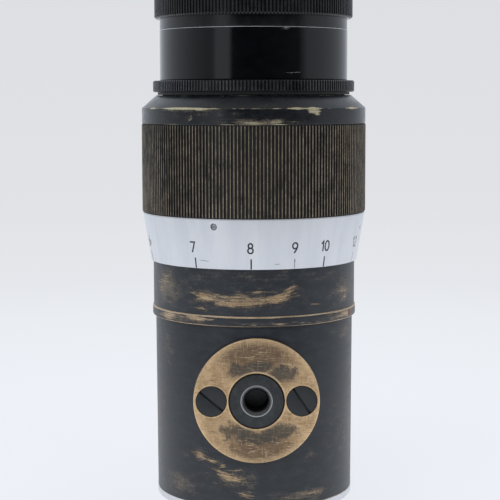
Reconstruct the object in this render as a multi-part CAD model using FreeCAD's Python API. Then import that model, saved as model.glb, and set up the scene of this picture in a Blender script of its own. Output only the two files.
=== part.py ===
import FreeCAD, Part
import math
import os

V = FreeCAD.Vector
os.makedirs("parts", exist_ok=True)

# ---------------------------------------------------------------- dimensions
# Millimetres. Origin: centre of the rear seating face of the flange ring.
# +Z runs along the optical axis to the front, -Y is the tripod socket side.

# rear flange, M39 x 26 tpi
FLANGE_R = 23.9
FLANGE_T = 1.9
THREAD_R = 19.5
THREAD_L = 5.0
THROAT_R = 17.78
# rear barrel
BARREL_R_TOP = 24.0
BARREL_R_BOT = 23.8
BARREL_TOP = 44.5
BARREL_BORE = 22.0
# index band and guide sleeve
BAND_R = 24.75
BAND_TOP = 46.9
SLEEVE_R = 24.5
SLEEVE_BORE = 23.3
SLEEVE_TOP = 83.5
SPIGOT_R = 23.0
LAND_TOP = 56.0
# tripod boss
BOSS_Z = 27.5
BOSS_R = 14.54
BOSS_FACE = 25.8
BUSH_R = 6.36
TRIPOD_MINOR_R = 2.6
TRIPOD_STEEL_R = 3.69
BOSS_SCREW_X = 10.4
BOSS_SCREW_R = 3.5
# rangefinder cam tube
CAM_R = 17.7
CAM_BORE = 16.5
CAM_REAR = -7.5
# focusing ring
SCALE_BOT, SCALE_TOP = 57.75, 69.4
SCALE_R_BOT, SCALE_R_TOP = 25.0, 26.95
GRIP_TOP = 90.6
GRIP_R = 27.08
GRIP_FLUTES = 202
GRIP_DEPTH = 0.36
CONE_TOP = 97.35
CONE_BREAK = 94.3
CONE_R = 27.0
CONE_R_TOP = 23.5
NUT_R = 25.55
RUN = 0.06                      # running clearance on radius
# head
HEAD_R = 20.6
HEAD_BORE = 19.4
HEAD_REAR = 34.5
NECK_R = 22.0
COLLAR_R = 23.16
TOWER_R = 21.6
# aperture ring
AP_BOT, AP_TOP = 98.1, 100.8
AP_R = 24.28
AP_TEETH = 186
AP_DEPTH = 0.28
# front tube and front ring
TUBE_R = 22.62
TUBE_TOP = 112.8
SKIRT_R = 22.5
SKIRT_TOP = 115.5
FRONT_R = 23.8
FRONT_TOP = 123.5
FRONT_TEETH = 175
FRONT_DEPTH = 0.32
FILTER_R = 21.1
# motion
FOCUS_DEG = 327.0
AP_DEG = 60.0
# iris
BLADES = 10
IRIS_IN = 13.5
IRIS_OUT = 16.3
PIVOT_R = 17.4
PIN_OFFSET = 3.0
BLADE_DEG = 39.6
BLADE_Z = 97.5
BLADE_PITCH = 0.12
BLADE_T = 0.1


# ------------------------------------------------------------------- helpers
def save(name, shape):
    if not shape.isValid():
        shape.fix(1e-6, 1e-6, 1e-6)
    shape.exportStep("parts/" + name + ".step")
    print(name, round(shape.Volume, 3), len(shape.Solids), shape.isValid())


def turn(points):
    """Solid of revolution about Z from (r, z) points; a point may be
    ("arc", (r_mid, z_mid), (r_end, z_end))."""
    edges = []
    first = points[0]
    last = first
    for p in points[1:] + [first]:
        if p[0] == "arc":
            edges.append(Part.Arc(V(last[0], 0, last[1]), V(p[1][0], 0, p[1][1]),
                                  V(p[2][0], 0, p[2][1])).toShape())
            last = p[2]
        else:
            if abs(p[0] - last[0]) + abs(p[1] - last[1]) > 1e-9:
                edges.append(Part.LineSegment(V(last[0], 0, last[1]), V(p[0], 0, p[1])).toShape())
            last = p
    face = Part.Face(Part.Wire(edges))
    solid = face.revolve(V(0, 0, 0), V(0, 0, 1), 360)
    if solid.Volume < 0:
        solid.reverse()
    return solid.Solids[0] if solid.Solids else solid


def tube(r_out, r_in, z0, z1):
    return turn([(r_in, z0), (r_out, z0), (r_out, z1), (r_in, z1)])


def cyl(r, p, d, h):
    return Part.makeCylinder(r, h, V(*p), V(*d))


def polar(r, deg, z=0.0):
    a = math.radians(deg)
    return V(r * math.cos(a), r * math.sin(a), z)


def spin(shape, deg, centre=V(0, 0, 0)):
    s = shape.copy()
    s.rotate(centre, V(0, 0, 1), deg)
    return s


def sector(r_in, r_out, a0, a1, z0, z1):
    """Part of a ring between two angles in degrees."""
    am = (a0 + a1) / 2
    e = [Part.Arc(polar(r_out, a0, z0), polar(r_out, am, z0), polar(r_out, a1, z0)).toShape(),
         Part.LineSegment(polar(r_out, a1, z0), polar(r_in, a1, z0)).toShape(),
         Part.Arc(polar(r_in, a1, z0), polar(r_in, am, z0), polar(r_in, a0, z0)).toShape(),
         Part.LineSegment(polar(r_in, a0, z0), polar(r_out, a0, z0)).toShape()]
    return Part.Face(Part.Wire(e)).extrude(V(0, 0, z1 - z0))


def fluted(r, depth, count, z0, z1, r_in, crest=0.42):
    """Ring with straight V flutes parallel to Z."""
    pts = []
    step = 360.0 / count
    for i in range(count):
        a = i * step
        pts += [polar(r, a - step * crest / 2, z0), polar(r, a + step * crest / 2, z0),
                polar(r - depth, a + step / 2, z0)]
    star = Part.Face(Part.makePolygon(pts + [pts[0]])).extrude(V(0, 0, z1 - z0))
    return star.cut(Part.makeCylinder(r_in, z1 - z0 + 2, V(0, 0, z0 - 1)))


# ------------------------------------------------------------- rear assembly
def radius_at(z):
    t = (z - FLANGE_T) / (BARREL_TOP - FLANGE_T)
    return BARREL_R_BOT + t * (BARREL_R_TOP - BARREL_R_BOT)


flange = turn([
    (THROAT_R, -THREAD_L), (THREAD_R - 0.5, -THREAD_L), (THREAD_R, -THREAD_L + 0.5),
    (THREAD_R, 0), (FLANGE_R - 0.45, 0), (FLANGE_R, 0.45), (FLANGE_R, FLANGE_T),
    (20.45, FLANGE_T), (20.45, 6.0), (THROAT_R, 6.0)])
barrel = turn([
    (20.5, FLANGE_T), (radius_at(FLANGE_T), FLANGE_T), (BARREL_R_TOP, BARREL_TOP),
    (SPIGOT_R, BARREL_TOP), (SPIGOT_R, 37.5), (BARREL_BORE, 37.5),
    (BARREL_BORE, 9.5), (20.5, 8.0)])
barrel_outline = turn([(0, -1), (radius_at(FLANGE_T), -1), (radius_at(FLANGE_T), FLANGE_T),
                       (BARREL_R_TOP, BARREL_TOP), (0, BARREL_TOP)])

# four countersunk screws hold the flange to the barrel
FLANGE_SCREW_RADIUS = 21.95
flange_screws = []
for i in range(4):
    p = polar(FLANGE_SCREW_RADIUS, 45 + 90 * i, 0)
    head = Part.makeCone(1.25, 0.75, 0.9, V(p.x, p.y, 0.02), V(0, 0, 1))
    shank = cyl(0.7, (p.x, p.y, 0.9), (0, 0, 1), 4.0)
    flange = flange.cut(Part.makeCone(1.28, 0.78, 0.93, V(p.x, p.y, -0.01), V(0, 0, 1)))
    flange = flange.cut(cyl(0.75, (p.x, p.y, 0.5), (0, 0, 1), 2.0))
    barrel = barrel.cut(cyl(0.72, (p.x, p.y, 1.0), (0, 0, 1), 4.2))
    s = head.fuse(shank).removeSplitter()
    slot = Part.makeBox(3.0, 0.3, 0.35, V(-1.5, -0.15, 0))
    slot = spin(slot, 20 + 75 * i)
    slot.translate(V(p.x, p.y, -0.01))
    flange_screws.append(s.cut(slot))
save("flange_screws", Part.Compound(flange_screws))

# tripod boss: a disc with a flat outer face, saddled on the barrel
boss = cyl(BOSS_R, (0, -BOSS_FACE, BOSS_Z), (0, 1, 0), 9.0)
rim = Part.makeCone(BOSS_R - 0.25, BOSS_R, 0.25, V(0, -BOSS_FACE, BOSS_Z), V(0, 1, 0))
boss = boss.cut(cyl(BOSS_R + 1, (0, -BOSS_FACE, BOSS_Z), (0, 1, 0), 0.25)).fuse(rim)
boss = boss.removeSplitter().cut(barrel_outline)
bush = cyl(BUSH_R, (0, -BOSS_FACE + 0.05, BOSS_Z), (0, 1, 0), 2.35).fuse(
    cyl(5.6, (0, -BOSS_FACE + 2.4, BOSS_Z), (0, 1, 0), 4.6)).removeSplitter()
bush_cut = cyl(BUSH_R + 0.16, (0, -BOSS_FACE - 1, BOSS_Z), (0, 1, 0), 1.75).fuse(
    cyl(BUSH_R, (0, -BOSS_FACE, BOSS_Z), (0, 1, 0), 2.4)).fuse(
    cyl(5.6, (0, -BOSS_FACE + 2.3, BOSS_Z), (0, 1, 0), 5.0))
boss = boss.cut(bush_cut)
barrel = barrel.cut(bush_cut)
steel = cyl(TRIPOD_STEEL_R, (0, -BOSS_FACE + 0.02, BOSS_Z), (0, 1, 0), 6.18)
# blind, so that no light gets in through the socket
bush = bush.cut(cyl(TRIPOD_STEEL_R, (0, -BOSS_FACE - 1, BOSS_Z), (0, 1, 0), 7.2))
steel = steel.cut(cyl(TRIPOD_MINOR_R, (0, -BOSS_FACE - 1, BOSS_Z), (0, 1, 0), 9))
steel = steel.cut(Part.makeCone(TRIPOD_MINOR_R + 0.62, TRIPOD_MINOR_R, 0.62,
                                V(0, -BOSS_FACE + 0.02, BOSS_Z), V(0, 1, 0)))
boss_screws = []
for sx, slope in ((-1, -40.0), (1, -56.0)):
    x = sx * BOSS_SCREW_X
    head = cyl(BOSS_SCREW_R, (x, -BOSS_FACE + 0.06, BOSS_Z), (0, 1, 0), 1.94)
    shank = cyl(1.6, (x, -BOSS_FACE + 2.0, BOSS_Z), (0, 1, 0), 4.6)
    slot = Part.makeBox(9.0, 0.7, 0.8, V(-4.5, 0, -0.4))
    slot.rotate(V(0, 0, 0), V(0, 1, 0), -slope)
    slot.translate(V(x, -BOSS_FACE - 0.02, BOSS_Z))
    boss_screws.append(head.fuse(shank).removeSplitter().cut(slot))
    hole = cyl(BOSS_SCREW_R + 0.1, (x, -BOSS_FACE - 1, BOSS_Z), (0, 1, 0), 3.0).fuse(
        cyl(1.65, (x, -BOSS_FACE, BOSS_Z), (0, 1, 0), 9.0))
    boss = boss.cut(hole)
    barrel = barrel.cut(cyl(1.65, (x, -BOSS_FACE, BOSS_Z), (0, 1, 0), 9.0))
save("tripod_plate", boss)
save("tripod_bush", bush)
save("tripod_thread", steel)
save("tripod_screws", Part.Compound(boss_screws))
save("flange_ring", flange)
save("rear_barrel", barrel)

save("rear_baffle", turn([(16.0, 23.4), (21.95, 23.4), (21.95, 24.4), (16.6, 24.4)]).cut(
    Part.makeBox(8.0, 6.0, 3.0, V(-4.0, -23.0, 23.0))).cut(
    Part.makeBox(30.0, 5.0, 3.0, V(-15.0, -23.2, 23.0))))

DOT_DEG = -90 + 65.6
DOT_Z = 45.72
band = tube(BAND_R, SPIGOT_R, BARREL_TOP, BAND_TOP)
d = polar(1, DOT_DEG)
p = polar(24.0, DOT_DEG, DOT_Z)
dot = cyl(0.8, (p.x, p.y, p.z), (d.x, d.y, 0), 0.78)
band = band.cut(cyl(0.8, (p.x, p.y, p.z), (d.x, d.y, 0), 2.0))
save("index_band", band)
save("red_dot", dot)

sleeve = turn([
    (HEAD_R + RUN, 38.0), (SPIGOT_R - 0.02, 38.0), (SPIGOT_R - 0.02, BAND_TOP), (SLEEVE_R, BAND_TOP),
    (SLEEVE_R, SLEEVE_TOP), (SLEEVE_BORE, SLEEVE_TOP), (SLEEVE_BORE, LAND_TOP + 1.0),
    (HEAD_R + RUN, LAND_TOP)])
# key that keeps the head from turning, on the +X side
sleeve = sleeve.cut(Part.makeBox(4.0, 2.4, 8.0, V(18.1, -1.2, 46.0)))
save("guide_sleeve", sleeve)
key = Part.makeBox(2.45, 2.4, 8.0, V(19.6, -1.2, 46.0))
save("guide_key", key)

cam = turn([(CAM_BORE, CAM_REAR), (CAM_R - 0.25, CAM_REAR), (CAM_R, CAM_REAR + 0.25),
            (CAM_R, 18.0), (CAM_BORE, 18.0)])
save("rf_cam", cam)

# -------------------------------------------------------------- focusing ring
scale = turn([
    (SLEEVE_R + 0.1, SCALE_BOT), (SCALE_R_BOT - 0.12, SCALE_BOT), (SCALE_R_BOT + 0.02, SCALE_BOT + 0.14),
    (SCALE_R_TOP - 0.02, SCALE_TOP - 0.12), (SCALE_R_TOP - 0.14, SCALE_TOP),
    (NUT_R + 0.02, SCALE_TOP), (NUT_R + 0.02, 64.6), (SLEEVE_R + 0.1, 64.6)])
nut = turn([
    (SLEEVE_R + RUN, 64.6), (NUT_R, 64.6), (NUT_R, 90.5), (HEAD_R + RUN, 90.5),
    (HEAD_R + RUN, 84.0), (SLEEVE_R + RUN, 84.0)])
# recess in the top face for the stop pin; the block left standing is the stop
STOP_DEG = 60.0
STOP_R = 21.4
pin_half = math.degrees(0.55 / STOP_R) + 0.2
block0 = STOP_DEG + pin_half
block1 = STOP_DEG + 360.0 - FOCUS_DEG - pin_half
recess_end = block0 + 360.0
mid = (block1 + recess_end) / 2
for a0, a1 in ((block1, mid), (mid, recess_end)):
    nut = nut.cut(sector(20.0, 22.25, a0, a1, 88.3, 91.0))
SCREW_Z = 67.6
scale_screws = []
for i in range(3):
    a = -90 - 21.3 + 120 * i
    d = polar(1, a)
    p = polar(24.95, a, SCREW_Z)
    s = cyl(0.65, (p.x, p.y, p.z), (d.x, d.y, 0), 26.6 - 24.95)
    slot = Part.makeBox(0.5, 2.0, 0.26, V(26.3, -1.0, -0.13))
    slot.rotate(V(26.3, 0, 0), V(1, 0, 0), 90.0 + 25 * i)
    slot = spin(slot, a)
    slot.translate(V(0, 0, SCREW_Z))
    scale_screws.append(s.cut(slot))
    hole = cyl(0.68, (p.x, p.y, p.z), (d.x, d.y, 0), 4.0)
    scale = scale.cut(hole)
    nut = nut.cut(hole)
save("scale_ring", scale)
save("scale_screws", Part.Compound(scale_screws))
save("helicoid_nut", nut)

grip = fluted(GRIP_R, GRIP_DEPTH, GRIP_FLUTES, SCALE_TOP, GRIP_TOP, NUT_R + 0.03)
save("grip_ring", grip)
cone = turn([
    (NECK_R + 0.35, GRIP_TOP), (CONE_R - 0.1, GRIP_TOP), (CONE_R, GRIP_TOP + 0.1), (CONE_R, CONE_BREAK),
    (CONE_R_TOP, CONE_TOP), (NECK_R + 0.35, CONE_TOP)])
save("cone_ring", cone)

# ----------------------------------------------------------------------- head
head = turn([
    (HEAD_BORE, HEAD_REAR), (HEAD_R, HEAD_REAR), (HEAD_R, 90.56), (NECK_R, 90.56), (NECK_R, 97.45),
    (COLLAR_R, 97.45), (COLLAR_R, 98.05), (TOWER_R, 98.05), (TOWER_R, 106.0), (20.4, 106.0),
    (20.4, 96.6), (14.6, 96.6), (14.6, 95.0), (17.6, 95.0), (17.6, 80.0), (HEAD_BORE, 80.0)])
head = head.cut(Part.makeBox(6.0, 2.5, 54.7 - HEAD_REAR + 1, V(17.0, -1.25, HEAD_REAR - 1)))
# arc slot for the pin that links the aperture ring to the cam ring
AP_PIN_DEG = 90.0
PIN_Z = 99.4
half = math.degrees(0.6 / 21.0) + 0.5
head = head.cut(sector(20.0, 22.5, AP_PIN_DEG - half, AP_PIN_DEG + AP_DEG + half, 98.75, 100.05))
# pocket for the focus stop pin
sp = polar(STOP_R, STOP_DEG, 88.5)
stop = cyl(0.55, (sp.x, sp.y, sp.z), (0, 0, 1), 4.0)
head = head.cut(cyl(0.55, (sp.x, sp.y, 90.0), (0, 0, 1), 2.5))
save("head_barrel", head)
save("focus_stop", stop)
save("thrust_ring", tube(22.85, HEAD_R, 80.6, 83.95))

# rear group: a cemented pair in its cell
rear_cell = turn([
    (14.5, 82.0), (17.58, 82.0), (17.58, 95.0), (13.6, 95.0), (13.6, 94.2), (14.5, 94.2)])
save("rear_cell", rear_cell)


def sag_mid(r, z_edge, z_vertex):
    """Point half-way along the arc of a spherical surface, edge to vertex."""
    h = z_vertex - z_edge
    big = (r * r + h * h) / (2 * abs(h))
    a = math.asin(r / big) / 2
    s = 1 if h > 0 else -1
    return (big * math.sin(a), z_vertex - s * (big - big * math.cos(a)))


GR = 14.46
save("cemented_front", turn([
    (0, 94.2 - 1.3), ("arc", sag_mid(GR, 94.2, 94.2 - 1.3), (GR, 94.2)), (GR, 89.6),
    ("arc", sag_mid(GR, 89.6, 92.0), (0, 92.0))]))
save("cemented_rear", turn([
    (0, 92.0), ("arc", sag_mid(GR, 89.6, 92.0), (GR, 89.6)), (GR, 88.0),
    ("arc", sag_mid(GR, 88.0, 86.0), (0, 86.0))]))
save("rear_retainer", tube(14.46, 13.2, 85.6, 87.55))

# front group
front_cell = turn([
    (15.0, 101.05), (20.36, 101.05), (20.36, 114.3), (18.6, 114.3), (18.6, 107.0), (16.2, 107.0),
    (16.2, 102.0), (15.0, 102.0)])
save("front_cell", front_cell)
save("middle_element", turn([
    (0, 103.3), ("arc", sag_mid(15.2, 102.0, 103.3), (15.2, 102.0)), (16.16, 102.0), (16.16, 106.0),
    (15.2, 106.0), ("arc", sag_mid(15.2, 106.0, 104.8), (0, 104.8))]))
save("cell_spacer", turn([
    (15.3, 106.0), (16.16, 106.0), (16.16, 107.0), (18.56, 107.0), (18.56, 110.0), (17.2, 110.0)]))
save("front_element", turn([
    (0, 110.9), ("arc", sag_mid(17.2, 110.0, 110.9), (17.2, 110.0)), (18.56, 110.0), (18.56, 112.5),
    ("arc", sag_mid(18.56, 112.5, 116.0), (0, 116.0))]))
save("front_retainer", turn([(17.7, 112.92), (18.56, 112.92), (18.56, 114.3), (17.9, 114.3)]))
save("front_bezel", turn([
    (18.1, 114.35), (20.36, 114.35), (20.36, 115.5), (20.95, 116.9), (20.95, 117.15), (20.3, 117.15),
    (18.1, 115.0)]))
save("front_tube", turn([
    (TOWER_R + 0.02, 100.86), (TUBE_R - 0.1, 100.86), (TUBE_R, 100.96), (TUBE_R, TUBE_TOP),
    (20.4, TUBE_TOP), (20.4, 106.05), (TOWER_R + 0.02, 106.05)]))
fr = fluted(FRONT_R, FRONT_DEPTH, FRONT_TEETH, TUBE_TOP, FRONT_TOP, 20.4, 0.4)
fr = fr.cut(turn([(SKIRT_R, TUBE_TOP - 1), (26.0, TUBE_TOP - 1), (26.0, SKIRT_TOP + 0.4), (24.2, SKIRT_TOP + 0.4),
                  (23.3, SKIRT_TOP), (SKIRT_R, SKIRT_TOP)]))
fr = fr.cut(turn([(23.05, FRONT_TOP + 1), (23.05, FRONT_TOP), (23.4, FRONT_TOP - 0.5), (26.0, FRONT_TOP - 0.9),
                  (26.0, FRONT_TOP + 1)]))
fr = fr.cut(turn([(19.0, 115.52), (20.4, 115.52), (FILTER_R, 117.2), (FILTER_R, 125.0), (19.0, 125.0)]))
save("front_ring", fr)

# ------------------------------------------------------------- aperture stop
base = tube(20.36, 13.3, 96.6, 97.4)
for i in range(BLADES):
    p = polar(PIVOT_R, 36 * i, 96.0)
    base = base.cut(cyl(0.36, (p.x, p.y, p.z), (0, 0, 1), 2.0))
save("iris_base", base)

P = V(PIVOT_R, 0, 0)
blade_level = []
for i in range(BLADES):
    z0 = BLADE_Z + BLADE_PITCH * i
    steps = 16
    inner, outer = [], []
    a_end = 97.0
    for k in range(steps + 1):
        a = a_end * k / steps
        inner.append(polar(IRIS_IN, a, z0))
        outer.append(polar(IRIS_OUT, a, z0))
    crescent = sector(IRIS_IN, IRIS_OUT, -1.0, a_end, z0, z0 + BLADE_T)
    tab = sector(15.0, 18.05, -3.0, 3.0, z0, z0 + BLADE_T)
    arm_pts = [V(PIVOT_R - 0.55, 0.2, z0), V(PIVOT_R + 0.65, 0.2, z0),
               V(PIVOT_R + 0.55, -PIN_OFFSET - 0.5, z0), V(PIVOT_R - 0.5, -PIN_OFFSET - 0.5, z0)]
    arm = Part.Face(Part.makePolygon(arm_pts + [arm_pts[0]])).extrude(V(0, 0, BLADE_T))
    stud = cyl(0.3, (PIVOT_R, 0, 96.65), (0, 0, 1), z0 + BLADE_T - 96.65)
    peg = cyl(0.25, (PIVOT_R, -PIN_OFFSET, z0), (0, 0, 1), 99.75 - z0)
    blade = crescent.fuse([tab, arm, stud, peg]).removeSplitter()
    blade = spin(blade, 36 * i)
    save("iris_blade_%02d" % (i + 1), blade)

# cam ring with ten slots that follow the pegs at a constant ratio
Q = V(PIVOT_R, -PIN_OFFSET, 0)


def peg_in_cam(t):
    """Peg centre in the cam ring's own frame, t from 0 (open) to 1."""
    phi = math.radians(BLADE_DEG * t)
    dx, dy = Q.x - P.x, Q.y - P.y
    x = P.x + dx * math.cos(phi) - dy * math.sin(phi)
    y = P.y + dx * math.sin(phi) + dy * math.cos(phi)
    psi = -math.radians(AP_DEG * t)
    return V(x * math.cos(psi) - y * math.sin(psi), x * math.sin(psi) + y * math.cos(psi), 0)


def slot_wire(z, w):
    n = 24
    c = [peg_in_cam(-0.01 + 1.02 * k / n) for k in range(n + 1)]
    left, right = [], []
    for k in range(n + 1):
        a = c[max(k - 1, 0)]
        b = c[min(k + 1, n)]
        t = (b - a).normalize()
        nrm = V(-t.y, t.x, 0)
        left.append(c[k] + nrm * w)
        right.append(c[k] - nrm * w)
    t0 = (c[1] - c[0]).normalize()
    t1 = (c[n] - c[n - 1]).normalize()
    cap1, cap0 = [], []
    for k in range(1, 6):
        a = math.pi / 2 - math.pi * k / 6
        n1 = V(-t1.y, t1.x, 0)
        cap1.append(c[n] + t1 * (w * math.cos(a)) + n1 * (w * math.sin(a)))
        n0 = V(-t0.y, t0.x, 0)
        cap0.append(c[0] - t0 * (w * math.cos(a)) - n0 * (w * math.sin(a)))
    pts = left + cap1 + right[::-1] + cap0
    pts = [V(q.x, q.y, z) for q in pts]
    return Part.makePolygon(pts + [pts[0]])


cam_z0, cam_z1 = 98.8, 99.9
ring = tube(20.3, 16.8, cam_z0, cam_z1)
w0 = Part.Face(slot_wire(cam_z0 - 0.5, 0.36)).extrude(V(0, 0, 2.5))
ring = ring.cut([spin(w0, 36 * i) for i in range(BLADES)])
d = polar(1, AP_PIN_DEG)
p0 = polar(20.02, AP_PIN_DEG, PIN_Z)
ap_pin = cyl(0.55, (p0.x, p0.y, p0.z), (d.x, d.y, 0), 3.6)
ring = ring.cut(cyl(0.55, (p0.x, p0.y, p0.z), (d.x, d.y, 0), 3.6))
save("iris_cam", ring)
save("aperture_pin", ap_pin)
save("iris_cover", tube(20.36, 15.5, 99.96, 101.05))
ap = fluted(AP_R, AP_DEPTH, AP_TEETH, AP_BOT, AP_TOP, TOWER_R + RUN, 0.4)
ap = ap.cut(cyl(0.55, (p0.x, p0.y, p0.z), (d.x, d.y, 0), 3.6))
save("aperture_ring", ap)
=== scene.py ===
import bpy
import bmesh
import math
from mathutils import Matrix, Vector


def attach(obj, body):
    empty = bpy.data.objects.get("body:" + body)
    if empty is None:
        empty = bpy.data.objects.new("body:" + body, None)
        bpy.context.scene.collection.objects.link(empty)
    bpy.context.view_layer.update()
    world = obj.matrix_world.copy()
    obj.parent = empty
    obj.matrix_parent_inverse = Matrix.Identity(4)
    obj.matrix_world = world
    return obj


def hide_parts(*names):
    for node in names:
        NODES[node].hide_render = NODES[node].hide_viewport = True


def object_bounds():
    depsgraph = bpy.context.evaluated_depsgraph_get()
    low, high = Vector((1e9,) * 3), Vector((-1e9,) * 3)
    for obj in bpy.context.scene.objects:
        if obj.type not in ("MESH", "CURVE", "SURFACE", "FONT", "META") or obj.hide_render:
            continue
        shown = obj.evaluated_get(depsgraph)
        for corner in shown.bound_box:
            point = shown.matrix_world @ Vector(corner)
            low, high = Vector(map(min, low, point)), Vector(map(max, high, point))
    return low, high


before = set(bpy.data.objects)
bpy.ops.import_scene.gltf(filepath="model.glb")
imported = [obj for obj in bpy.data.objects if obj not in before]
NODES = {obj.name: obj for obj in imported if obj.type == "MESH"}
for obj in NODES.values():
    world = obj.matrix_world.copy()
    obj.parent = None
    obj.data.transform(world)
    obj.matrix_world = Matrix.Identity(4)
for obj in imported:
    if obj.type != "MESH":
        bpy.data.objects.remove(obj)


def bounds_list():
    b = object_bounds()
    return [[float(v) for v in c] for c in b]


cad_box = bounds_list()
MM = 0.001
BOSS_Z, BOSS_FACE = 27.5, 25.8


# ------------------------------------------------------------ material nodes
class Net:
    """Small helper that adds nodes to one material."""

    def __init__(self, name):
        self.mat = bpy.data.materials.new(name)
        self.mat.use_nodes = True
        self.t = self.mat.node_tree
        self.t.nodes.clear()
        self.out = self.t.nodes.new("ShaderNodeOutputMaterial")
        self.bsdf = self.t.nodes.new("ShaderNodeBsdfPrincipled")
        self.t.links.new(self.bsdf.outputs[0], self.out.inputs[0])
        tc = self.t.nodes.new("ShaderNodeTexCoord")
        self.obj = tc.outputs["Object"]
        sep = self.t.nodes.new("ShaderNodeSeparateXYZ")
        self.t.links.new(self.obj, sep.inputs[0])
        self.x = self.m("MULTIPLY", sep.outputs[0], 1000.0)
        self.y = self.m("MULTIPLY", sep.outputs[1], 1000.0)
        self.z = self.m("MULTIPLY", sep.outputs[2], 1000.0)
        self._deg = None
        self._r = None

    def put(self, socket, v):
        if isinstance(v, bpy.types.NodeSocket):
            self.t.links.new(v, socket)
        else:
            socket.default_value = v

    def m(self, op, a, b=None, c=None, clamp=False):
        n = self.t.nodes.new("ShaderNodeMath")
        n.operation = op
        n.use_clamp = clamp
        self.put(n.inputs[0], a)
        if b is not None:
            self.put(n.inputs[1], b)
        if c is not None:
            self.put(n.inputs[2], c)
        return n.outputs[0]

    @property
    def deg(self):
        """Angle round the axis, 0 towards -Y, growing towards +X."""
        if self._deg is None:
            a = self.m("ARCTAN2", self.x, self.m("MULTIPLY", self.y, -1.0))
            self._deg = self.m("MULTIPLY", a, 57.29578)
        return self._deg

    @property
    def r(self):
        if self._r is None:
            s = self.m("ADD", self.m("MULTIPLY", self.x, self.x), self.m("MULTIPLY", self.y, self.y))
            self._r = self.m("SQRT", s)
        return self._r

    def vec(self, kx, ky, kz, off=(0, 0, 0), rot=(0, 0, 0)):
        n = self.t.nodes.new("ShaderNodeMapping")
        n.inputs["Scale"].default_value = (kx, ky, kz)
        n.inputs["Location"].default_value = off
        n.inputs["Rotation"].default_value = rot
        self.t.links.new(self.obj, n.inputs[0])
        return n.outputs[0]

    def noise(self, vec, detail=4.0, rough=0.55, scale=1.0, distort=0.0):
        n = self.t.nodes.new("ShaderNodeTexNoise")
        n.inputs["Scale"].default_value = scale
        n.inputs["Detail"].default_value = detail
        n.inputs["Roughness"].default_value = rough
        n.inputs["Distortion"].default_value = distort
        self.t.links.new(vec, n.inputs["Vector"])
        return n.outputs[0]

    def ramp(self, v, lo, hi):
        """Smooth 0 to 1 as v goes from lo to hi."""
        n = self.t.nodes.new("ShaderNodeMapRange")
        n.interpolation_type = "SMOOTHSTEP"
        n.inputs["From Min"].default_value = lo
        n.inputs["From Max"].default_value = hi
        n.inputs["To Min"].default_value = 0.0
        n.inputs["To Max"].default_value = 1.0
        self.put(n.inputs["Value"], v)
        return n.outputs[0]

    def lin(self, v, lo, hi, a, b):
        n = self.t.nodes.new("ShaderNodeMapRange")
        n.inputs["From Min"].default_value = lo
        n.inputs["From Max"].default_value = hi
        n.inputs["To Min"].default_value = a
        n.inputs["To Max"].default_value = b
        self.put(n.inputs["Value"], v)
        return n.outputs[0]

    def mix(self, f, a, b):
        n = self.t.nodes.new("ShaderNodeMix")
        n.data_type = "RGBA"
        self.put(n.inputs["Factor"], f)
        for sock, v in ((n.inputs[6], a), (n.inputs[7], b)):
            if isinstance(v, bpy.types.NodeSocket):
                self.t.links.new(v, sock)
            else:
                sock.default_value = (v[0], v[1], v[2], 1.0)
        return n.outputs[2]

    def maxi(self, *vals):
        v = vals[0]
        for w in vals[1:]:
            v = self.m("MAXIMUM", v, w)
        return v

    def turn(self, th0):
        """Angle from th0, in -180 to 180 degrees."""
        return self.m("WRAP", self.m("SUBTRACT", self.deg, th0), 180.0, -180.0)

    def blob(self, th0, z0, rth, rz, tilt=0.0):
        """1 at the centre of an ellipse in (degrees, mm), 0 at its edge, negative outside."""
        du = self.turn(th0)
        dz = self.m("SUBTRACT", self.z, z0)
        if tilt:
            dz = self.m("SUBTRACT", dz, self.m("MULTIPLY", du, tilt))
        a = self.m("MULTIPLY", du, 1.0 / rth)
        b = self.m("MULTIPLY", dz, 1.0 / rz)
        d = self.m("SQRT", self.m("ADD", self.m("MULTIPLY", a, a), self.m("MULTIPLY", b, b)))
        return self.m("SUBTRACT", 1.0, d)

    def plain_blob(self, u, v, u0, v0, ru, rv):
        a = self.m("MULTIPLY", self.m("SUBTRACT", u, u0), 1.0 / ru)
        b = self.m("MULTIPLY", self.m("SUBTRACT", v, v0), 1.0 / rv)
        d = self.m("SQRT", self.m("ADD", self.m("MULTIPLY", a, a), self.m("MULTIPLY", b, b)))
        return self.m("SUBTRACT", 1.0, d)

    def edge(self, z0, w):
        """1 on the circle at height z0, 0 at distance w."""
        return self.m("SUBTRACT", 1.0, self.m("MULTIPLY", self.m("ABSOLUTE", self.m("SUBTRACT", self.z, z0)), 1.0 / w))

    def bump(self, h, strength, dist):
        n = self.t.nodes.new("ShaderNodeBump")
        n.inputs["Strength"].default_value = strength
        n.inputs["Distance"].default_value = dist
        self.t.links.new(h, n.inputs["Height"])
        self.t.links.new(n.outputs[0], self.bsdf.inputs["Normal"])

    def finish(self, color, rough, metal=None, ior=None):
        self.put(self.bsdf.inputs["Base Color"], color if isinstance(color, bpy.types.NodeSocket) else (*color, 1.0))
        self.put(self.bsdf.inputs["Roughness"], rough)
        if metal is not None:
            self.put(self.bsdf.inputs["Metallic"], metal)
        if ior is not None:
            self.bsdf.inputs["IOR"].default_value = ior
        return self.mat


BRASS = (0.53, 0.375, 0.21)
BRASS_DULL = (0.27, 0.195, 0.125)
BRASS_BRIGHT = (0.78, 0.60, 0.385)
PALE = ((0.42, 0.37, 0.24), (0.60, 0.54, 0.36), (0.78, 0.72, 0.52))
GREY = ((0.42, 0.44, 0.46), (0.60, 0.62, 0.64), (0.75, 0.77, 0.79))


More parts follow.
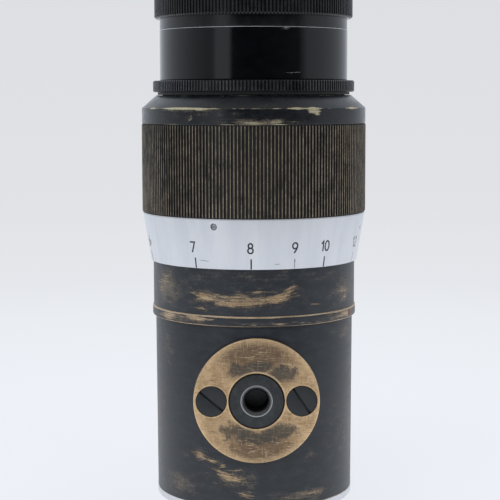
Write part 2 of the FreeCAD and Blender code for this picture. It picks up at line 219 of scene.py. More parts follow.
def worn_paint(name, base=(0.0150, 0.0185, 0.0240), rough=0.36, patches=(), rubs=(), edges=(), gloss_var=0.12,
               seed=0.0, micro=True, metal_cols=None, scratches=1.0):
    """Black paint over brass.
    patches: (theta, z, r_theta, r_z, strength, tilt, curve) brushed bare spots, in degrees and mm, whose streaks
    follow z = z0 + tilt * (theta - theta0) + curve * (theta - theta0)^2.
    rubs: (theta, z, r_theta, r_z, strength) paint thinned to brown.
    edges: (z, width, coverage, arcs) rings of edge wear, or of painted highlight where a chamfer catches the light,
    arcs of (theta, half width, extra)."""
    n = Net(name)
    rad = 24.5
    coarse = n.noise(n.vec(330, 330, 700, off=(0, seed, 3)), detail=4, rough=0.6)
    fine = n.noise(n.vec(2200, 2200, 3200, off=(seed, seed, 0)), detail=3, rough=0.6)
    hair = n.noise(n.vec(120, 120, 5200, off=(seed, 1, 0)), detail=6, rough=0.72)
    masks = []
    for i, p in enumerate(patches):
        th, z, rt, rz, s = p[:5]
        tilt = p[5] if len(p) > 5 else 0.0
        curve = p[6] if len(p) > 6 else 0.0
        du = n.turn(th)
        w = n.m("SUBTRACT", n.z, z)
        if tilt:
            w = n.m("SUBTRACT", w, n.m("MULTIPLY", du, tilt))
        if curve:
            w = n.m("SUBTRACT", w, n.m("MULTIPLY", n.m("MULTIPLY", du, du), curve))
        c = n.t.nodes.new("ShaderNodeCombineXYZ")
        n.put(c.inputs[0], n.m("MULTIPLY", du, 0.0175 * rad * 0.30))
        n.put(c.inputs[1], n.m("MULTIPLY", w, 5.2))
        c.inputs[2].default_value = seed + 3.1 * i
        st = n.noise(c.outputs[0], detail=7, rough=0.70)
        aa = n.m("MULTIPLY", du, 1.0 / rt)
        bb = n.m("MULTIPLY", w, 1.0 / rz)
        d = n.m("SQRT", n.m("ADD", n.m("MULTIPLY", aa, aa), n.m("MULTIPLY", bb, bb)))
        b = n.m("MULTIPLY", n.m("SUBTRACT", 1.0, d), s)
        f = n.m("ADD", n.m("MAXIMUM", b, -1.5), n.m("MULTIPLY", n.m("SUBTRACT", st, 0.5), 5.2))
        f = n.m("ADD", f, n.m("MULTIPLY", n.m("SUBTRACT", coarse, 0.5), 1.9))
        masks.append(n.m("MULTIPLY", n.m("MULTIPLY", n.ramp(f, 0.15, 1.05), n.ramp(b, -1.1, -0.2)), 0.95))
    for e in edges:
        z, w, cov, arcs = e
        chip = n.noise(n.vec(420, 420, 500, off=(seed + z, 0, 0)), detail=5, rough=0.65)
        v = n.maxi(n.edge(z, w), 0.0)
        g = n.m("ADD", n.m("SUBTRACT", chip, 0.5), cov)
        for th, rt, s in arcs:
            k = n.m("SUBTRACT", 1.0, n.m("MULTIPLY", n.m("ABSOLUTE", n.turn(th)), 1.0 / rt))
            g = n.m("ADD", g, n.m("MULTIPLY", n.maxi(k, 0.0), s))
        f = n.m("ADD", n.m("SUBTRACT", v, 1.0), g)
        masks.append(n.m("MULTIPLY", n.ramp(f, 0.02, 0.12), n.ramp(v, 0.0, 0.08)))
    mask = n.maxi(*masks) if masks else n.m("MULTIPLY", hair, 0.0)
    rub = None
    for th, z, rt, rz, s in rubs:
        b = n.m("MULTIPLY", n.maxi(n.blob(th, z, rt, rz), -1.0), s)
        f = n.m("ADD", b, n.m("MULTIPLY", n.m("SUBTRACT", hair, 0.5), 2.4))
        f = n.m("ADD", f, n.m("MULTIPLY", n.m("SUBTRACT", fine, 0.5), 2.2))
        f = n.m("ADD", f, n.m("MULTIPLY", n.m("SUBTRACT", coarse, 0.5), 2.6))
        k = n.ramp(f, 0.05, 1.25)
        rub = k if rub is None else n.m("MAXIMUM", rub, k)
    paint = n.mix(n.ramp(coarse, 0.35, 0.7), tuple(c * 0.85 for c in base), tuple(c * 1.45 for c in base))
    if rub is not None:
        paint = n.mix(n.m("MULTIPLY", rub, 0.85), paint, (0.135, 0.108, 0.080))
    # hairline scratches and dust caught in the paint
    spark = n.noise(n.vec(900, 900, 2600, off=(2, seed, 7)), detail=4, rough=0.75)
    marks = n.m("ADD", n.m("MULTIPLY", n.ramp(spark, 0.665, 0.74), 0.5), n.m("MULTIPLY", n.ramp(hair, 0.655, 0.73), 0.30))
    paint = n.mix(n.m("MULTIPLY", marks, 0.55 * scratches), paint, (0.17, 0.165, 0.155))
    c0, c1, c2 = metal_cols or (BRASS_DULL, BRASS, BRASS_BRIGHT)
    brass = n.mix(n.ramp(fine, 0.3, 0.7), c0, c1)
    brass = n.mix(n.ramp(hair, 0.50, 0.66), brass, c2)
    col = n.mix(mask, paint, brass)
    r = n.lin(coarse, 0.3, 0.7, rough - gloss_var / 2, rough + gloss_var / 2)
    r = n.m("ADD", r, n.m("MULTIPLY", n.m("SUBTRACT", fine, 0.5), 0.12))
    r = n.m("ADD", n.m("MULTIPLY", r, n.m("SUBTRACT", 1.0, mask)), n.m("MULTIPLY", mask, 0.42))
    h = n.m("ADD", n.m("MULTIPLY", mask, -0.9), n.m("MULTIPLY", fine, 0.3 if micro else 0.05))
    h = n.m("ADD", h, n.m("MULTIPLY", hair, 0.30 if micro else 0.05))
    h = n.m("ADD", h, n.m("MULTIPLY", coarse, 1.3 if micro else 0.35))
    n.bump(h, 0.55, 0.00002)
    return n.finish(col, r, n.m("MULTIPLY", mask, 0.8))


def matte_black(name, base=(0.010, 0.010, 0.011), rough=0.62):
    n = Net(name)
    f = n.noise(n.vec(1500, 1500, 2500), detail=4)
    n.bump(f, 0.3, 0.00002)
    return n.finish(n.mix(n.ramp(f, 0.3, 0.7), base, tuple(c * 1.8 for c in base)), n.lin(f, 0.3, 0.7, rough - 0.06, rough + 0.06))


def turned_metal(name, base, rough, lines=9000.0, axis="z", metal=1.0, var=0.12):
    n = Net(name)
    k = (60, 60, lines) if axis == "z" else (60, lines, 60)
    t = n.noise(n.vec(*k), detail=3, rough=0.6)
    c = n.noise(n.vec(300, 300, 300), detail=4)
    n.bump(t, 0.12, 0.00002)
    col = n.mix(n.ramp(c, 0.3, 0.7), tuple(v * (1 - var) for v in base), base)
    return n.finish(col, n.lin(t, 0.3, 0.7, rough - 0.05, rough + 0.05), metal)


# -------------------------------------------------------------- mesh helpers
def rounded(prof, n=3):
    """prof: list of (r, z, bevel). Each corner with a bevel becomes a small arc."""
    out = []
    c = len(prof)
    for i, p in enumerate(prof):
        r, z = p[0], p[1]
        b = p[2] if len(p) > 2 else 0.0
        if b <= 0:
            out.append((r, z))
            continue
        a = Vector(prof[i - 1][:2]) - Vector((r, z))
        d = Vector(prof[(i + 1) % c][:2]) - Vector((r, z))
        b1 = min(b, a.length * 0.45)
        b2 = min(b, d.length * 0.45)
        p0 = Vector((r, z)) + a.normalized() * b1
        p2 = Vector((r, z)) + d.normalized() * b2
        for k in range(n + 1):
            t = k / n
            q = p0 * (1 - t) ** 2 + Vector((r, z)) * 2 * t * (1 - t) + p2 * t * t
            out.append((q.x, q.y))
    return out


def dense(prof, z0, z1, step, rmin=0.0):
    """Splits profile edges between two heights, so that a radius function has rows to act on."""
    out = []
    c = len(prof)
    for i in range(c):
        a, b = prof[i], prof[(i + 1) % c]
        out.append(a)
        if min(a[1], b[1]) >= z0 - 1e-6 and max(a[1], b[1]) <= z1 + 1e-6 and min(a[0], b[0]) >= rmin:
            L = math.hypot(b[0] - a[0], b[1] - a[1])
            k = int(L / step)
            for j in range(1, k):
                t = j / k
                out.append((a[0] + (b[0] - a[0]) * t, a[1] + (b[1] - a[1]) * t))
    return out


def smooth(me, angle=32.0):
    me.polygons.foreach_set("use_smooth", [True] * len(me.polygons))
    me.set_sharp_from_angle(angle=math.radians(angle))
    me.update()


def add(name, verts, faces, body, node, mat, angle=32.0, weld=True):
    me = bpy.data.meshes.new(name)
    me.from_pydata(verts, [], faces)
    bm = bmesh.new()
    bm.from_mesh(me)
    if weld:
        bmesh.ops.remove_doubles(bm, verts=bm.verts, dist=1e-7)
    bmesh.ops.recalc_face_normals(bm, faces=bm.faces)
    bm.to_mesh(me)
    bm.free()
    smooth(me, angle)
    o = bpy.data.objects.new(name, me)
    bpy.context.scene.collection.objects.link(o)
    me.materials.append(mat)
    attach(o, body)
    if node:
        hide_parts(node)
    return o


def lathe_data(prof, seg, rad=None, closed=True):
    """Vertices (metres) and quads for a closed (r, z) loop in mm turned about Z."""
    verts, faces = [], []
    rows = len(prof)
    for j in range(seg):
        a = 2 * math.pi * j / seg
        ca, sa = math.sin(a), -math.cos(a)
        for r, z in prof:
            rr = rad(r, z, a) if rad else r
            verts.append((rr * ca * MM, rr * sa * MM, z * MM))
    for j in range(seg):
        k = (j + 1) % seg
        for i in range(rows if closed else rows - 1):
            n = (i + 1) % rows
            faces.append((j * rows + i, k * rows + i, k * rows + n, j * rows + n))
    return verts, faces


def lathe(name, prof, body, node, mat, seg=240, rad=None, angle=32.0):
    v, f = lathe_data(prof, seg, rad)
    return add(name, v, f, body, node, mat, angle)


def flute(r_top, depth, teeth, crest, flank):
    """Radius limit of a row of straight flutes."""
    def rad(r, z, a):
        t = (a * teeth / (2 * math.pi)) % 1.0
        d = min(t, 1 - t)                      # 0 at the crest
        lo, hi = crest / 2, crest / 2 + flank
        if d <= lo:
            s = 0.0
        elif d >= hi:
            s = 1.0
        else:
            u = (d - lo) / (hi - lo)
            s = u * u * (3 - 2 * u)
        return r_top - depth * s
    return rad


# ------------------------------------------------------------------- glyphs
def arc(cx, cy, rx, ry, a0, a1, n=18):
    return [(cx + rx * math.cos(math.radians(a0 + (a1 - a0) * k / n)),
             cy + ry * math.sin(math.radians(a0 + (a1 - a0) * k / n))) for k in range(n + 1)]


GLYPHS = {
    "0": [arc(0.26, 0.5, 0.26, 0.5, 90, 450, 36)],
    "1": [[(0.04, 0.76), (0.26, 1.0), (0.26, 0.0)]],
    "2": [arc(0.26, 0.74, 0.25, 0.26, 175, -28, 16) + [(0.0, 0.0), (0.54, 0.0)]],
    "3": [arc(0.25, 0.76, 0.22, 0.24, 150, -80, 14) + arc(0.25, 0.27, 0.26, 0.27, 80, -150, 16)],
    "4": [[(0.40, 0.0), (0.40, 1.0), (0.0, 0.26), (0.56, 0.26)]],
    "5": [[(0.47, 1.0), (0.09, 1.0), (0.05, 0.55)] + arc(0.25, 0.32, 0.26, 0.32, 128, -150, 18)],
    "6": [arc(0.26, 0.30, 0.26, 0.30, 180, 540, 30), [(0.0, 0.32), (0.03, 0.52), (0.12, 0.74), (0.30, 1.0)]],
    "7": [[(0.0, 1.0), (0.5, 1.0), (0.16, 0.0)]],
    "8": [arc(0.26, 0.76, 0.21, 0.24, 90, 450, 28), arc(0.26, 0.27, 0.26, 0.27, 90, 450, 30)],
    "9": [arc(0.26, 0.70, 0.26, 0.30, 0, 360, 30), [(0.52, 0.68), (0.49, 0.48), (0.40, 0.26), (0.22, 0.0)]],
    ".": [[(0.02, 0.03), (0.02, 0.09)]],
    "inf": [arc(0.24, 0.42, 0.24, 0.25, 0, 360, 26), arc(0.72, 0.42, 0.24, 0.25, 180, 540, 26)],
}
WIDTH = {"1": 0.34, ".": 0.10, "inf": 0.96}


def ribbon(points, w, place, out_r=0.008, in_r=-0.05):
    """A thin inlaid strip along points in (s, z) mm. place(s, z, lift) gives metres."""
    pts = []
    for a, b in zip(points, points[1:]):
        L = math.hypot(b[0] - a[0], b[1] - a[1])
        k = max(1, int(L / 0.35))
        for j in range(k):
            pts.append((a[0] + (b[0] - a[0]) * j / k, a[1] + (b[1] - a[1]) * j / k))
    pts.append(points[-1])
    loop = math.hypot(points[0][0] - points[-1][0], points[0][1] - points[-1][1]) < 1e-6
    if loop:
        pts = pts[:-1]
    n = len(pts)
    left, right = [], []
    for i, p in enumerate(pts):
        a = pts[(i - 1) % n] if (loop or i > 0) else p
        b = pts[(i + 1) % n] if (loop or i < n - 1) else p
        d = Vector((b[0] - a[0], b[1] - a[1]))
        if i not in (0, n - 1) or loop:
            d1 = (Vector(p) - Vector(a)).normalized()
            d2 = (Vector(b) - Vector(p)).normalized()
            d = (d1 + d2)
            cosh = max(0.45, math.sqrt(max(0.0, (1 + d1.dot(d2)) / 2)))
        else:
            cosh = 1.0
        d = d.normalized()
        nrm = Vector((-d.y, d.x)) * (w / 2 / cosh)
        q = Vector(p)
        if not loop and i == 0:
            q = q - d * w * 0.35
        if not loop and i == n - 1:
            q = q + d * w * 0.35
        left.append(q + nrm)
        right.append(q - nrm)
    verts, faces = [], []
    for i in range(n):
        verts += [place(left[i].x, left[i].y, out_r), place(right[i].x, right[i].y, out_r),
                  place(right[i].x, right[i].y, in_r), place(left[i].x, left[i].y, in_r)]
    last = n if loop else n - 1
    for i in range(last):
        j = (i + 1) % n
        a, b = 4 * i, 4 * j
        faces += [(a, a + 1, b + 1, b), (a + 1, a + 2, b + 2, b + 1), (a + 2, a + 3, b + 3, b + 2),
                  (a + 3, a, b, b + 3)]
    if not loop:
        faces += [(0, 3, 2, 1), (4 * n - 4, 4 * n - 3, 4 * n - 2, 4 * n - 1)]
    return verts, faces


def text_strokes(text, height, gap=0.17):
    """Strokes of a line of figures, centred on 0, baseline at 0, in mm."""
    chars = [text] if text in GLYPHS else list(text)
    total = sum(WIDTH.get(c, 0.54) for c in chars) + gap * (len(chars) - 1)
    x = -total / 2
    out = []
    for c in chars:
        for s in GLYPHS[c]:
            pts = [((p[0] + x) * height, p[1] * height) for p in s]
            out.append(pts)
        x += WIDTH.get(c, 0.54) + gap
    return out


def on_surface(radius, th0):
    """Places flat (s, z) strokes on a surface of revolution, centred at th0 degrees."""
    def place(s, z, lift):
        r = radius(z) + lift
        a = math.radians(th0) + s / radius(z)
        return (r * math.sin(a) * MM, -r * math.cos(a) * MM, z * MM)
    return place


def merge(parts):
    verts, faces = [], []
    for v, f in parts:
        o = len(verts)
        verts += v
        faces += [tuple(i + o for i in q) for q in f]
    return verts, faces


# ----------------------------------------------------------------- materials
M_INK = Net("engraving_ink")
_s = M_INK.noise(M_INK.vec(2500, 2500, 2500), detail=4)
M_INK = M_INK.finish(M_INK.mix(M_INK.ramp(_s, 0.45, 0.75), (0.010, 0.012, 0.022), (0.045, 0.05, 0.065)), 0.5)
M_INK_WORN = Net("engraving_ink_worn")
_s = M_INK_WORN.noise(M_INK_WORN.vec(1800, 1800, 1800), detail=4)
M_INK_WORN = M_INK_WORN.finish(M_INK_WORN.mix(M_INK_WORN.ramp(_s, 0.38, 0.62), (0.10, 0.105, 0.13), (0.42, 0.43, 0.47)), 0.45)
M_WHITE = Net("engraving_white")
_s = M_WHITE.noise(M_WHITE.vec(2000, 2000, 2000), detail=4)
M_WHITE = M_WHITE.finish(M_WHITE.mix(M_WHITE.ramp(_s, 0.4, 0.7), (0.62, 0.60, 0.54), (0.40, 0.38, 0.33)), 0.6)

M_BARREL = worn_paint(
    "paint_barrel", rough=0.40, seed=1.7, scratches=1.7,
    patches=[(-33.5, 13.6, 8, 0.9, 1.0, -0.09), (-27, 12.6, 6, 0.7, 0.8, -0.12), (-15, 8.9, 11, 1.0, 1.35, -0.10),
             (-20, 10.1, 7, 0.6, 1.0, -0.09), (-12, 10.6, 5, 0.3, 0.7, 0.0), (-7, 5.0, 5, 0.7, 0.7, -0.05),
             (-19, 11.5, 2.0, 0.5, 0.7, 0.1), (22, 3.6, 8, 0.5, 0.8), (33, 4.2, 9, 0.6, 0.9),
             (128, 30, 10, 2.5, 0.85, 0.1), (-150, 22, 14, 2, 0.9, -0.1), (100, 12, 9, 1.5, 0.8), (-100, 36, 9, 2, 0.8),
             (170, 10, 16, 1.2, 1.1, 0.05), (-120, 8, 10, 1.2, 0.9)],
    rubs=[(-50, 5.8, 15, 3.2, 1.1), (-33, 13.4, 12, 2.0, 0.7), (28, 4.0, 22, 1.9, 1.05), (-14, 8.4, 18, 2.6, 0.75),
          (33, 13.5, 5, 1.3, 0.8), (72, 18, 20, 12, 0.55), (-78, 20, 14, 14, 0.6), (62, 41, 12, 2.5, 0.75), (-60, 38, 8, 5, 0.5),
          (150, 25, 30, 9, 0.7), (-140, 14, 25, 8, 0.6)],
    edges=[(1.95, 0.28, 0.18, ((-20, 60, 0.25), (50, 40, 0.3))), (44.45, 0.12, 0.0, ((60, 25, 0.3),))])
M_SLEEVE = worn_paint(
    "paint_sleeve", rough=0.40, seed=5.1, scratches=1.4,
    patches=[(-10, 49.7, 25, 0.95, 1.5, 0.0, 0.0036), (-8, 50.7, 24, 0.9, 0.8, 0.0, 0.0026), (13, 51.2, 9, 1.4, 1.55, 0.07),
             (18, 52.6, 5, 1.0, 1.2, 0.20), (-29, 51.2, 8, 1.2, 1.1, -0.12), (0, 52.4, 10, 0.5, 0.6, 0.03),
             (34, 49.2, 4, 0.22, 1.1, -0.03), (57, 51.4, 5, 0.9, 0.9), (60, 49.9, 3, 0.5, 0.9), (-62, 53.6, 7, 2.0, 0.6),
             (-30, 48.3, 4, 0.5, 0.7, -0.05),
             (140, 51, 20, 0.8, 1.5, 0.0, 0.003), (178, 49.5, 14, 1.0, 1.2), (-120, 52, 14, 1.4, 1.1, 0.05)],
    rubs=[(-9, 50.6, 34, 2.6, 1.05), (-58, 52.3, 15, 4.9, 1.45), (60, 51.5, 14, 4.2, 1.05), (0, 56, 60, 1.4, 0.3),
          (150, 51, 40, 4, 0.9), (-120, 52, 30, 4, 0.9)],
    edges=[(57.7, 0.2, 0.0, ((-60, 20, 0.2),))])
M_BAND = worn_paint(
    "paint_band", rough=0.42, seed=9.3,
    patches=[(-57, 45.7, 9, 1.1, 1.5), (-35, 46.0, 12, 0.6, 1.7), (62, 45.7, 14, 1.0, 0.9), (150, 45.6, 14, 1.1, 1.1),
             (-130, 45.8, 16, 1.0, 1.1), (10, 45.2, 16, 0.3, 0.5)],
    rubs=[(-48, 45.6, 26, 1.8, 1.1), (58, 45.7, 24, 1.8, 1.4), (120, 45.7, 40, 1.6, 0.9), (-120, 45.7, 40, 1.6, 0.9)],
    edges=[(46.84, 0.38, 0.68, ((-6, 26, 0.5), (-60, 30, 0.3), (64, 26, 0.4))),
           (44.58, 0.24, 0.36, ((-30, 40, 0.25), (58, 30, 0.35)))],
    metal_cols=((0.33, 0.24, 0.155), (0.56, 0.42, 0.27), (0.80, 0.66, 0.47)))
M_CONE = worn_paint(
    "paint_cone", base=(0.0040, 0.0054, 0.0072), rough=0.28, seed=3.3, metal_cols=PALE,
    patches=[(29.4, 93.75, 4.0, 0.8, 2.6), (31.0, 93.1, 2.0, 0.5, 1.6), (-47, 94.15, 5, 0.4, 0.9), (-30, 94.15, 8, 0.35, 1.1),
             (0, 91.15, 14, 0.2, 0.55), (9, 91.4, 5, 0.25, 0.5), (-33, 92.2, 1.2, 0.8, 0.6, 0.3), (160, 93.8, 6, 0.7, 1.3)],
    rubs=[(-32, 93.6, 22, 1.0, 0.5), (0, 91.3, 22, 0.8, 1.1), (150, 92.5, 40, 2, 0.5)],
    edges=[(94.3, 0.34, 0.0, ((-37, 22, 0.95), (20, 6, 0.9), (29, 6, 1.0), (57, 7, 0.9), (3, 22, 0.20), (-62, 6, 0.5),
                              (150, 30, 0.9), (-140, 30, 0.9), (100, 15, 0.9))),
           (90.72, 0.13, 0.0, ((0, 15, 0.45), (12, 6, 0.4), (-14, 5, 0.4), (-45, 8, 0.3), (130, 30, 0.6), (-120, 25, 0.5))),
           (97.2, 0.12, 0.0, ((-10, 14, 0.2), (40, 10, 0.2), (120, 30, 0.3)))])
# the nearly full pale grey ring at z 112.76 is a painted highlight along the chamfer at the tube's top edge
M_TUBE = worn_paint(
    "paint_tube", base=(0.0010, 0.0014, 0.0019), rough=0.10, gloss_var=0.06, seed=7.7, micro=False, metal_cols=GREY,
    patches=[(18, 112.3, 2.4, 0.3, 0.7), (22, 102.4, 3.0, 0.12, 0.6)], rubs=[], scratches=0.35,
    edges=[(112.76, 0.085, 0.85, ((0, 50, 0.4),))])
M_FRONT = worn_paint(
    "paint_front", base=(0.003, 0.0036, 0.0044), rough=0.26, gloss_var=0.08, seed=2.9, micro=False, metal_cols=GREY,
    edges=[(115.95, 0.14, 0.12, ((-10, 30, 0.3),)), (123.35, 0.2, 0.15, ((150, 60, 0.4), (-30, 50, 0.4)))])


def fluted_paint(name, r_crest, base, crest_col, rough, lo, hi, amount, seed, vals=(0.25, 0.75),
                 big_gain=1.0):
    """Paint that is rubbed off the crests of flutes: the wear follows the radius."""
    n = Net(name)
    big = n.noise(n.vec(70, 70, 60, off=(seed, 0, 0)), detail=3)
    mid = n.noise(n.vec(500, 500, 300, off=(0, seed, 0)), detail=5, rough=0.65)
    fine = n.noise(n.vec(3000, 3000, 1600, off=(0, 0, seed)), detail=3)
    crest = n.ramp(n.r, r_crest - lo, r_crest - hi)
    g = n.m("ADD", n.m("MULTIPLY", n.m("SUBTRACT", mid, 0.5), 1.1), n.m("MULTIPLY", n.m("SUBTRACT", big, 0.5), big_gain))
    k = n.ramp(n.m("ADD", g, amount), vals[0], vals[1])
    mask = n.m("MULTIPLY", crest, k)
    ridge = n.mix(n.ramp(fine, 0.35, 0.65), tuple(c * 0.6 for c in crest_col), crest_col)
    dirt = n.mix(n.ramp(mid, 0.35, 0.65), base, tuple(c * f for c, f in zip(base, (1.9, 1.7, 1.5))))
    col = n.mix(mask, dirt, ridge)
    n.bump(fine, 0.3, 0.00001)
    r = n.lin(mid, 0.3, 0.7, rough - 0.06, rough + 0.08)
    return n.finish(col, r, n.m("MULTIPLY", mask, 0.7))


M_GRIP = fluted_paint("grip_paint", 27.08, (0.0050, 0.0046, 0.0042), (0.40, 0.335, 0.25), 0.40, 0.08, 0.01, 0.54, 4.0, big_gain=0.55)
M_APERTURE = fluted_paint("aperture_paint", 24.28, (0.0012, 0.0015, 0.0019), (0.080, 0.086, 0.092), 0.24, 0.07, 0.01, 0.45, 6.0)
M_FRONT_KNURL = fluted_paint("front_knurl_paint", 23.8, (0.0012, 0.0015, 0.0019), (0.050, 0.054, 0.060), 0.22, 0.07, 0.01, 0.40, 8.0)


def chrome_material():
    n = Net("satin_chrome")
    t = n.noise(n.vec(80, 80, 5200), detail=4, rough=0.6)
    c = n.noise(n.vec(260, 260, 30), detail=5, rough=0.6)
    f = n.noise(n.vec(4200, 4200, 4200), detail=2)
    col = n.mix(n.ramp(c, 0.3, 0.7), (0.665, 0.69, 0.735), (0.735, 0.755, 0.79))
    # short scratches: two long fine dashes and a nick
    scr = n.maxi(n.ramp(n.blob(-27.8, 59.62, 3.6, 0.10, tilt=-0.035), 0.0, 0.4),
                 n.ramp(n.blob(11.0, 59.0, 2.0, 0.09, tilt=0.02), 0.0, 0.4),
                 n.ramp(n.blob(73.0, 65.9, 1.0, 0.6), 0.0, 0.35),
                 n.ramp(n.blob(-74.0, 62.5, 1.4, 0.8), 0.1, 0.5))
    spot = n.noise(n.vec(900, 900, 900, off=(3, 8, 2)), detail=3, rough=0.7)
    specks = n.ramp(spot, 0.72, 0.78)
    dirt = n.m("ADD", n.m("MULTIPLY", scr, 0.75), n.m("MULTIPLY", specks, 0.35), clamp=True)
    col = n.mix(dirt, col, (0.16, 0.165, 0.18))
    # painted shade just under the grip, where the chrome meets it
    top = n.m("MULTIPLY", n.ramp(n.z, 68.9, 69.35), 0.45)
    col = n.mix(top, col, (0.25, 0.24, 0.23))
    n.bump(n.m("ADD", n.m("MULTIPLY", t, 0.6), n.m("MULTIPLY", f, 0.5)), 0.16, 0.00002)
    r = n.m("ADD", n.lin(t, 0.3, 0.7, 0.34, 0.42), n.m("MULTIPLY", n.m("SUBTRACT", c, 0.5), 0.08))
    return n.finish(col, r, 0.62)


M_CHROME = chrome_material()
M_FLANGE = turned_metal("flange_chrome", (0.72, 0.735, 0.77), 0.3, metal=0.9)
M_STEEL = turned_metal("bright_steel", (0.34, 0.345, 0.35), 0.26, axis="y")
def bore_steel():
    n = Net("threaded_steel")
    t = n.noise(n.vec(60, 9000, 60), detail=3, rough=0.6)
    # painted shade: the threaded bore turns near black further in from the face
    bore_shade = n.ramp(n.y, -BOSS_FACE + 0.15, -BOSS_FACE + 0.70)
    v = n.m("SUBTRACT", n.z, BOSS_Z)
    rr = n.m("SQRT", n.m("ADD", n.m("MULTIPLY", n.x, n.x), n.m("MULTIPLY", v, v)))
    band = n.m("MULTIPLY", n.ramp(rr, 3.16, 3.24), n.ramp(rr, 3.58, 3.50))
    col = n.mix(band, (0.46, 0.465, 0.47), (0.16, 0.165, 0.17))
    col = n.mix(bore_shade, col, (0.030, 0.031, 0.034))
    return n.finish(col, n.lin(t, 0.3, 0.7, 0.22, 0.34), 0.95)


M_BORE = bore_steel()
M_SET = turned_metal("dull_steel", (0.40, 0.41, 0.43), 0.38)
M_STEEL_Z = turned_metal("bright_steel_z", (0.62, 0.62, 0.62), 0.3)
M_BRASS_IN = turned_metal("turned_brass", (0.72, 0.52, 0.24), 0.28)
M_MATTE = matte_black("matte_black")


def disc_material():
    """Bare brass with a brown patina, crossed by fine scratches, brighter round the holes and at the rim, where a
    painted highlight runs along the chamfer.
    """
    n = Net("patinated_brass")
    u = n.x
    v = n.m("SUBTRACT", n.z, BOSS_Z)
    rr = n.m("SQRT", n.m("ADD", n.m("MULTIPLY", u, u), n.m("MULTIPLY", v, v)))
    mott = n.noise(n.vec(420, 420, 420), detail=6, rough=0.62)
    fine = n.noise(n.vec(3000, 3000, 3000), detail=3, rough=0.6)
    hor = n.noise(n.vec(350, 1, 4200), detail=3, rough=0.6)
    ver = n.noise(n.vec(4200, 1, 350), detail=3, rough=0.6)
    dia = n.noise(n.vec(500, 1, 5000, rot=(0, math.radians(50), 0)), detail=3, rough=0.6)
    di2 = n.noise(n.vec(500, 1, 5000, rot=(0, math.radians(-38), 0)), detail=3, rough=0.6)
    brown = n.maxi(n.plain_blob(u, v, 0.3, 10.5, 12.0, 6.4), n.plain_blob(u, v, 1.0, -11.0, 11.0, 6.2), 0.0)
    brown = n.m("ADD", n.m("MULTIPLY", brown, 1.6), n.m("MULTIPLY", n.m("SUBTRACT", mott, 0.5), 1.7))
    brown = n.m("ADD", brown, n.m("MULTIPLY", n.m("SUBTRACT", fine, 0.5), 0.9))
    brown = n.ramp(brown, 0.10, 1.0)
    gr = n.maxi(n.plain_blob(u, v, -3.4, 7.0, 4.6, 2.3), n.plain_blob(u, v, 5.4, 6.1, 4.4, 2.6),
                n.plain_blob(u, v, -4.2, -6.9, 4.8, 2.5), n.plain_blob(u, v, 5.0, -7.0, 5.0, 2.4),
                n.plain_blob(u, v, 0.6, 8.0, 5.0, 1.6), n.plain_blob(u, v, 0.8, -8.4, 6.0, 1.9), -0.5)
    gr = n.m("ADD", gr, n.m("MULTIPLY", n.m("SUBTRACT", mott, 0.5), 1.8))
    grey = n.ramp(n.m("ADD", gr, n.m("MULTIPLY", n.m("SUBTRACT", fine, 0.5), 0.6)), -0.05, 0.5)
    base = n.mix(n.ramp(mott, 0.35, 0.65), (0.40, 0.265, 0.14), (0.60, 0.42, 0.245))
    base = n.mix(n.m("MULTIPLY", brown, 0.90), base, (0.150, 0.098, 0.064))
    base = n.mix(n.m("MULTIPLY", grey, 0.88), base, (0.054, 0.050, 0.043))
    # brighter brass at the rim and round the holes; the thin line at the rim's edge is a painted highlight along its
    # chamfer
    rim = n.m("MAXIMUM", n.m("MULTIPLY", n.ramp(n.m("ADD", rr, n.m("MULTIPLY", mott, 1.2)), 13.3, 14.9), 0.6), n.ramp(rr, 14.05, 14.3))
    hole = n.maxi(n.ramp(rr, 7.15, 6.6),
                  n.m("SUBTRACT", 1.0, n.m("MULTIPLY", n.m("ABSOLUTE", n.m("SUBTRACT", n.m("SQRT", n.m("ADD",
                      n.m("POWER", n.m("SUBTRACT", n.m("ABSOLUTE", u), 10.4), 2.0), n.m("MULTIPLY", v, v))), 3.75)), 5.0)), 0.0)
    bright = n.m("MULTIPLY", n.maxi(rim, hole), n.lin(mott, 0.3, 0.7, 0.55, 1.0))
    base = n.mix(n.m("MULTIPLY", bright, 0.85), base, (0.80, 0.575, 0.33))
    s = n.maxi(n.ramp(hor, 0.57, 0.67), n.m("MULTIPLY", n.ramp(ver, 0.58, 0.68), 0.9),
               n.ramp(dia, 0.59, 0.69), n.m("MULTIPLY", n.ramp(di2, 0.59, 0.69), 0.9))
    base = n.mix(n.m("MULTIPLY", s, n.lin(grey, 0.0, 1.0, 0.62, 0.25)), base, (0.74, 0.56, 0.35))
    dk = n.m("MAXIMUM", n.ramp(hor, 0.43, 0.33), n.ramp(ver, 0.42, 0.32))
    dk = n.m("MAXIMUM", dk, n.ramp(di2, 0.41, 0.31))
    base = n.mix(n.m("MULTIPLY", dk, 0.55), base, (0.10, 0.070, 0.045))
    # black paint left on the side wall
    side = n.ramp(n.y, -BOSS_FACE + 0.34, -BOSS_FACE + 0.55)
    base = n.mix(side, base, (0.019, 0.021, 0.026))
    met = n.m("MULTIPLY", n.m("SUBTRACT", 1.0, side), n.lin(grey, 0.0, 1.0, 0.72, 0.35))
    h = n.m("ADD", n.m("MULTIPLY", hor, 0.5), n.m("ADD", n.m("MULTIPLY", dia, 0.5), n.m("MULTIPLY", ver, 0.4)))
    n.bump(h, 0.35, 0.00003)
    rough = n.m("ADD", n.lin(mott, 0.3, 0.7, 0.36, 0.48), n.m("MULTIPLY", grey, 0.08))
    return n.finish(base, rough, met)


M_DISC = disc_material()


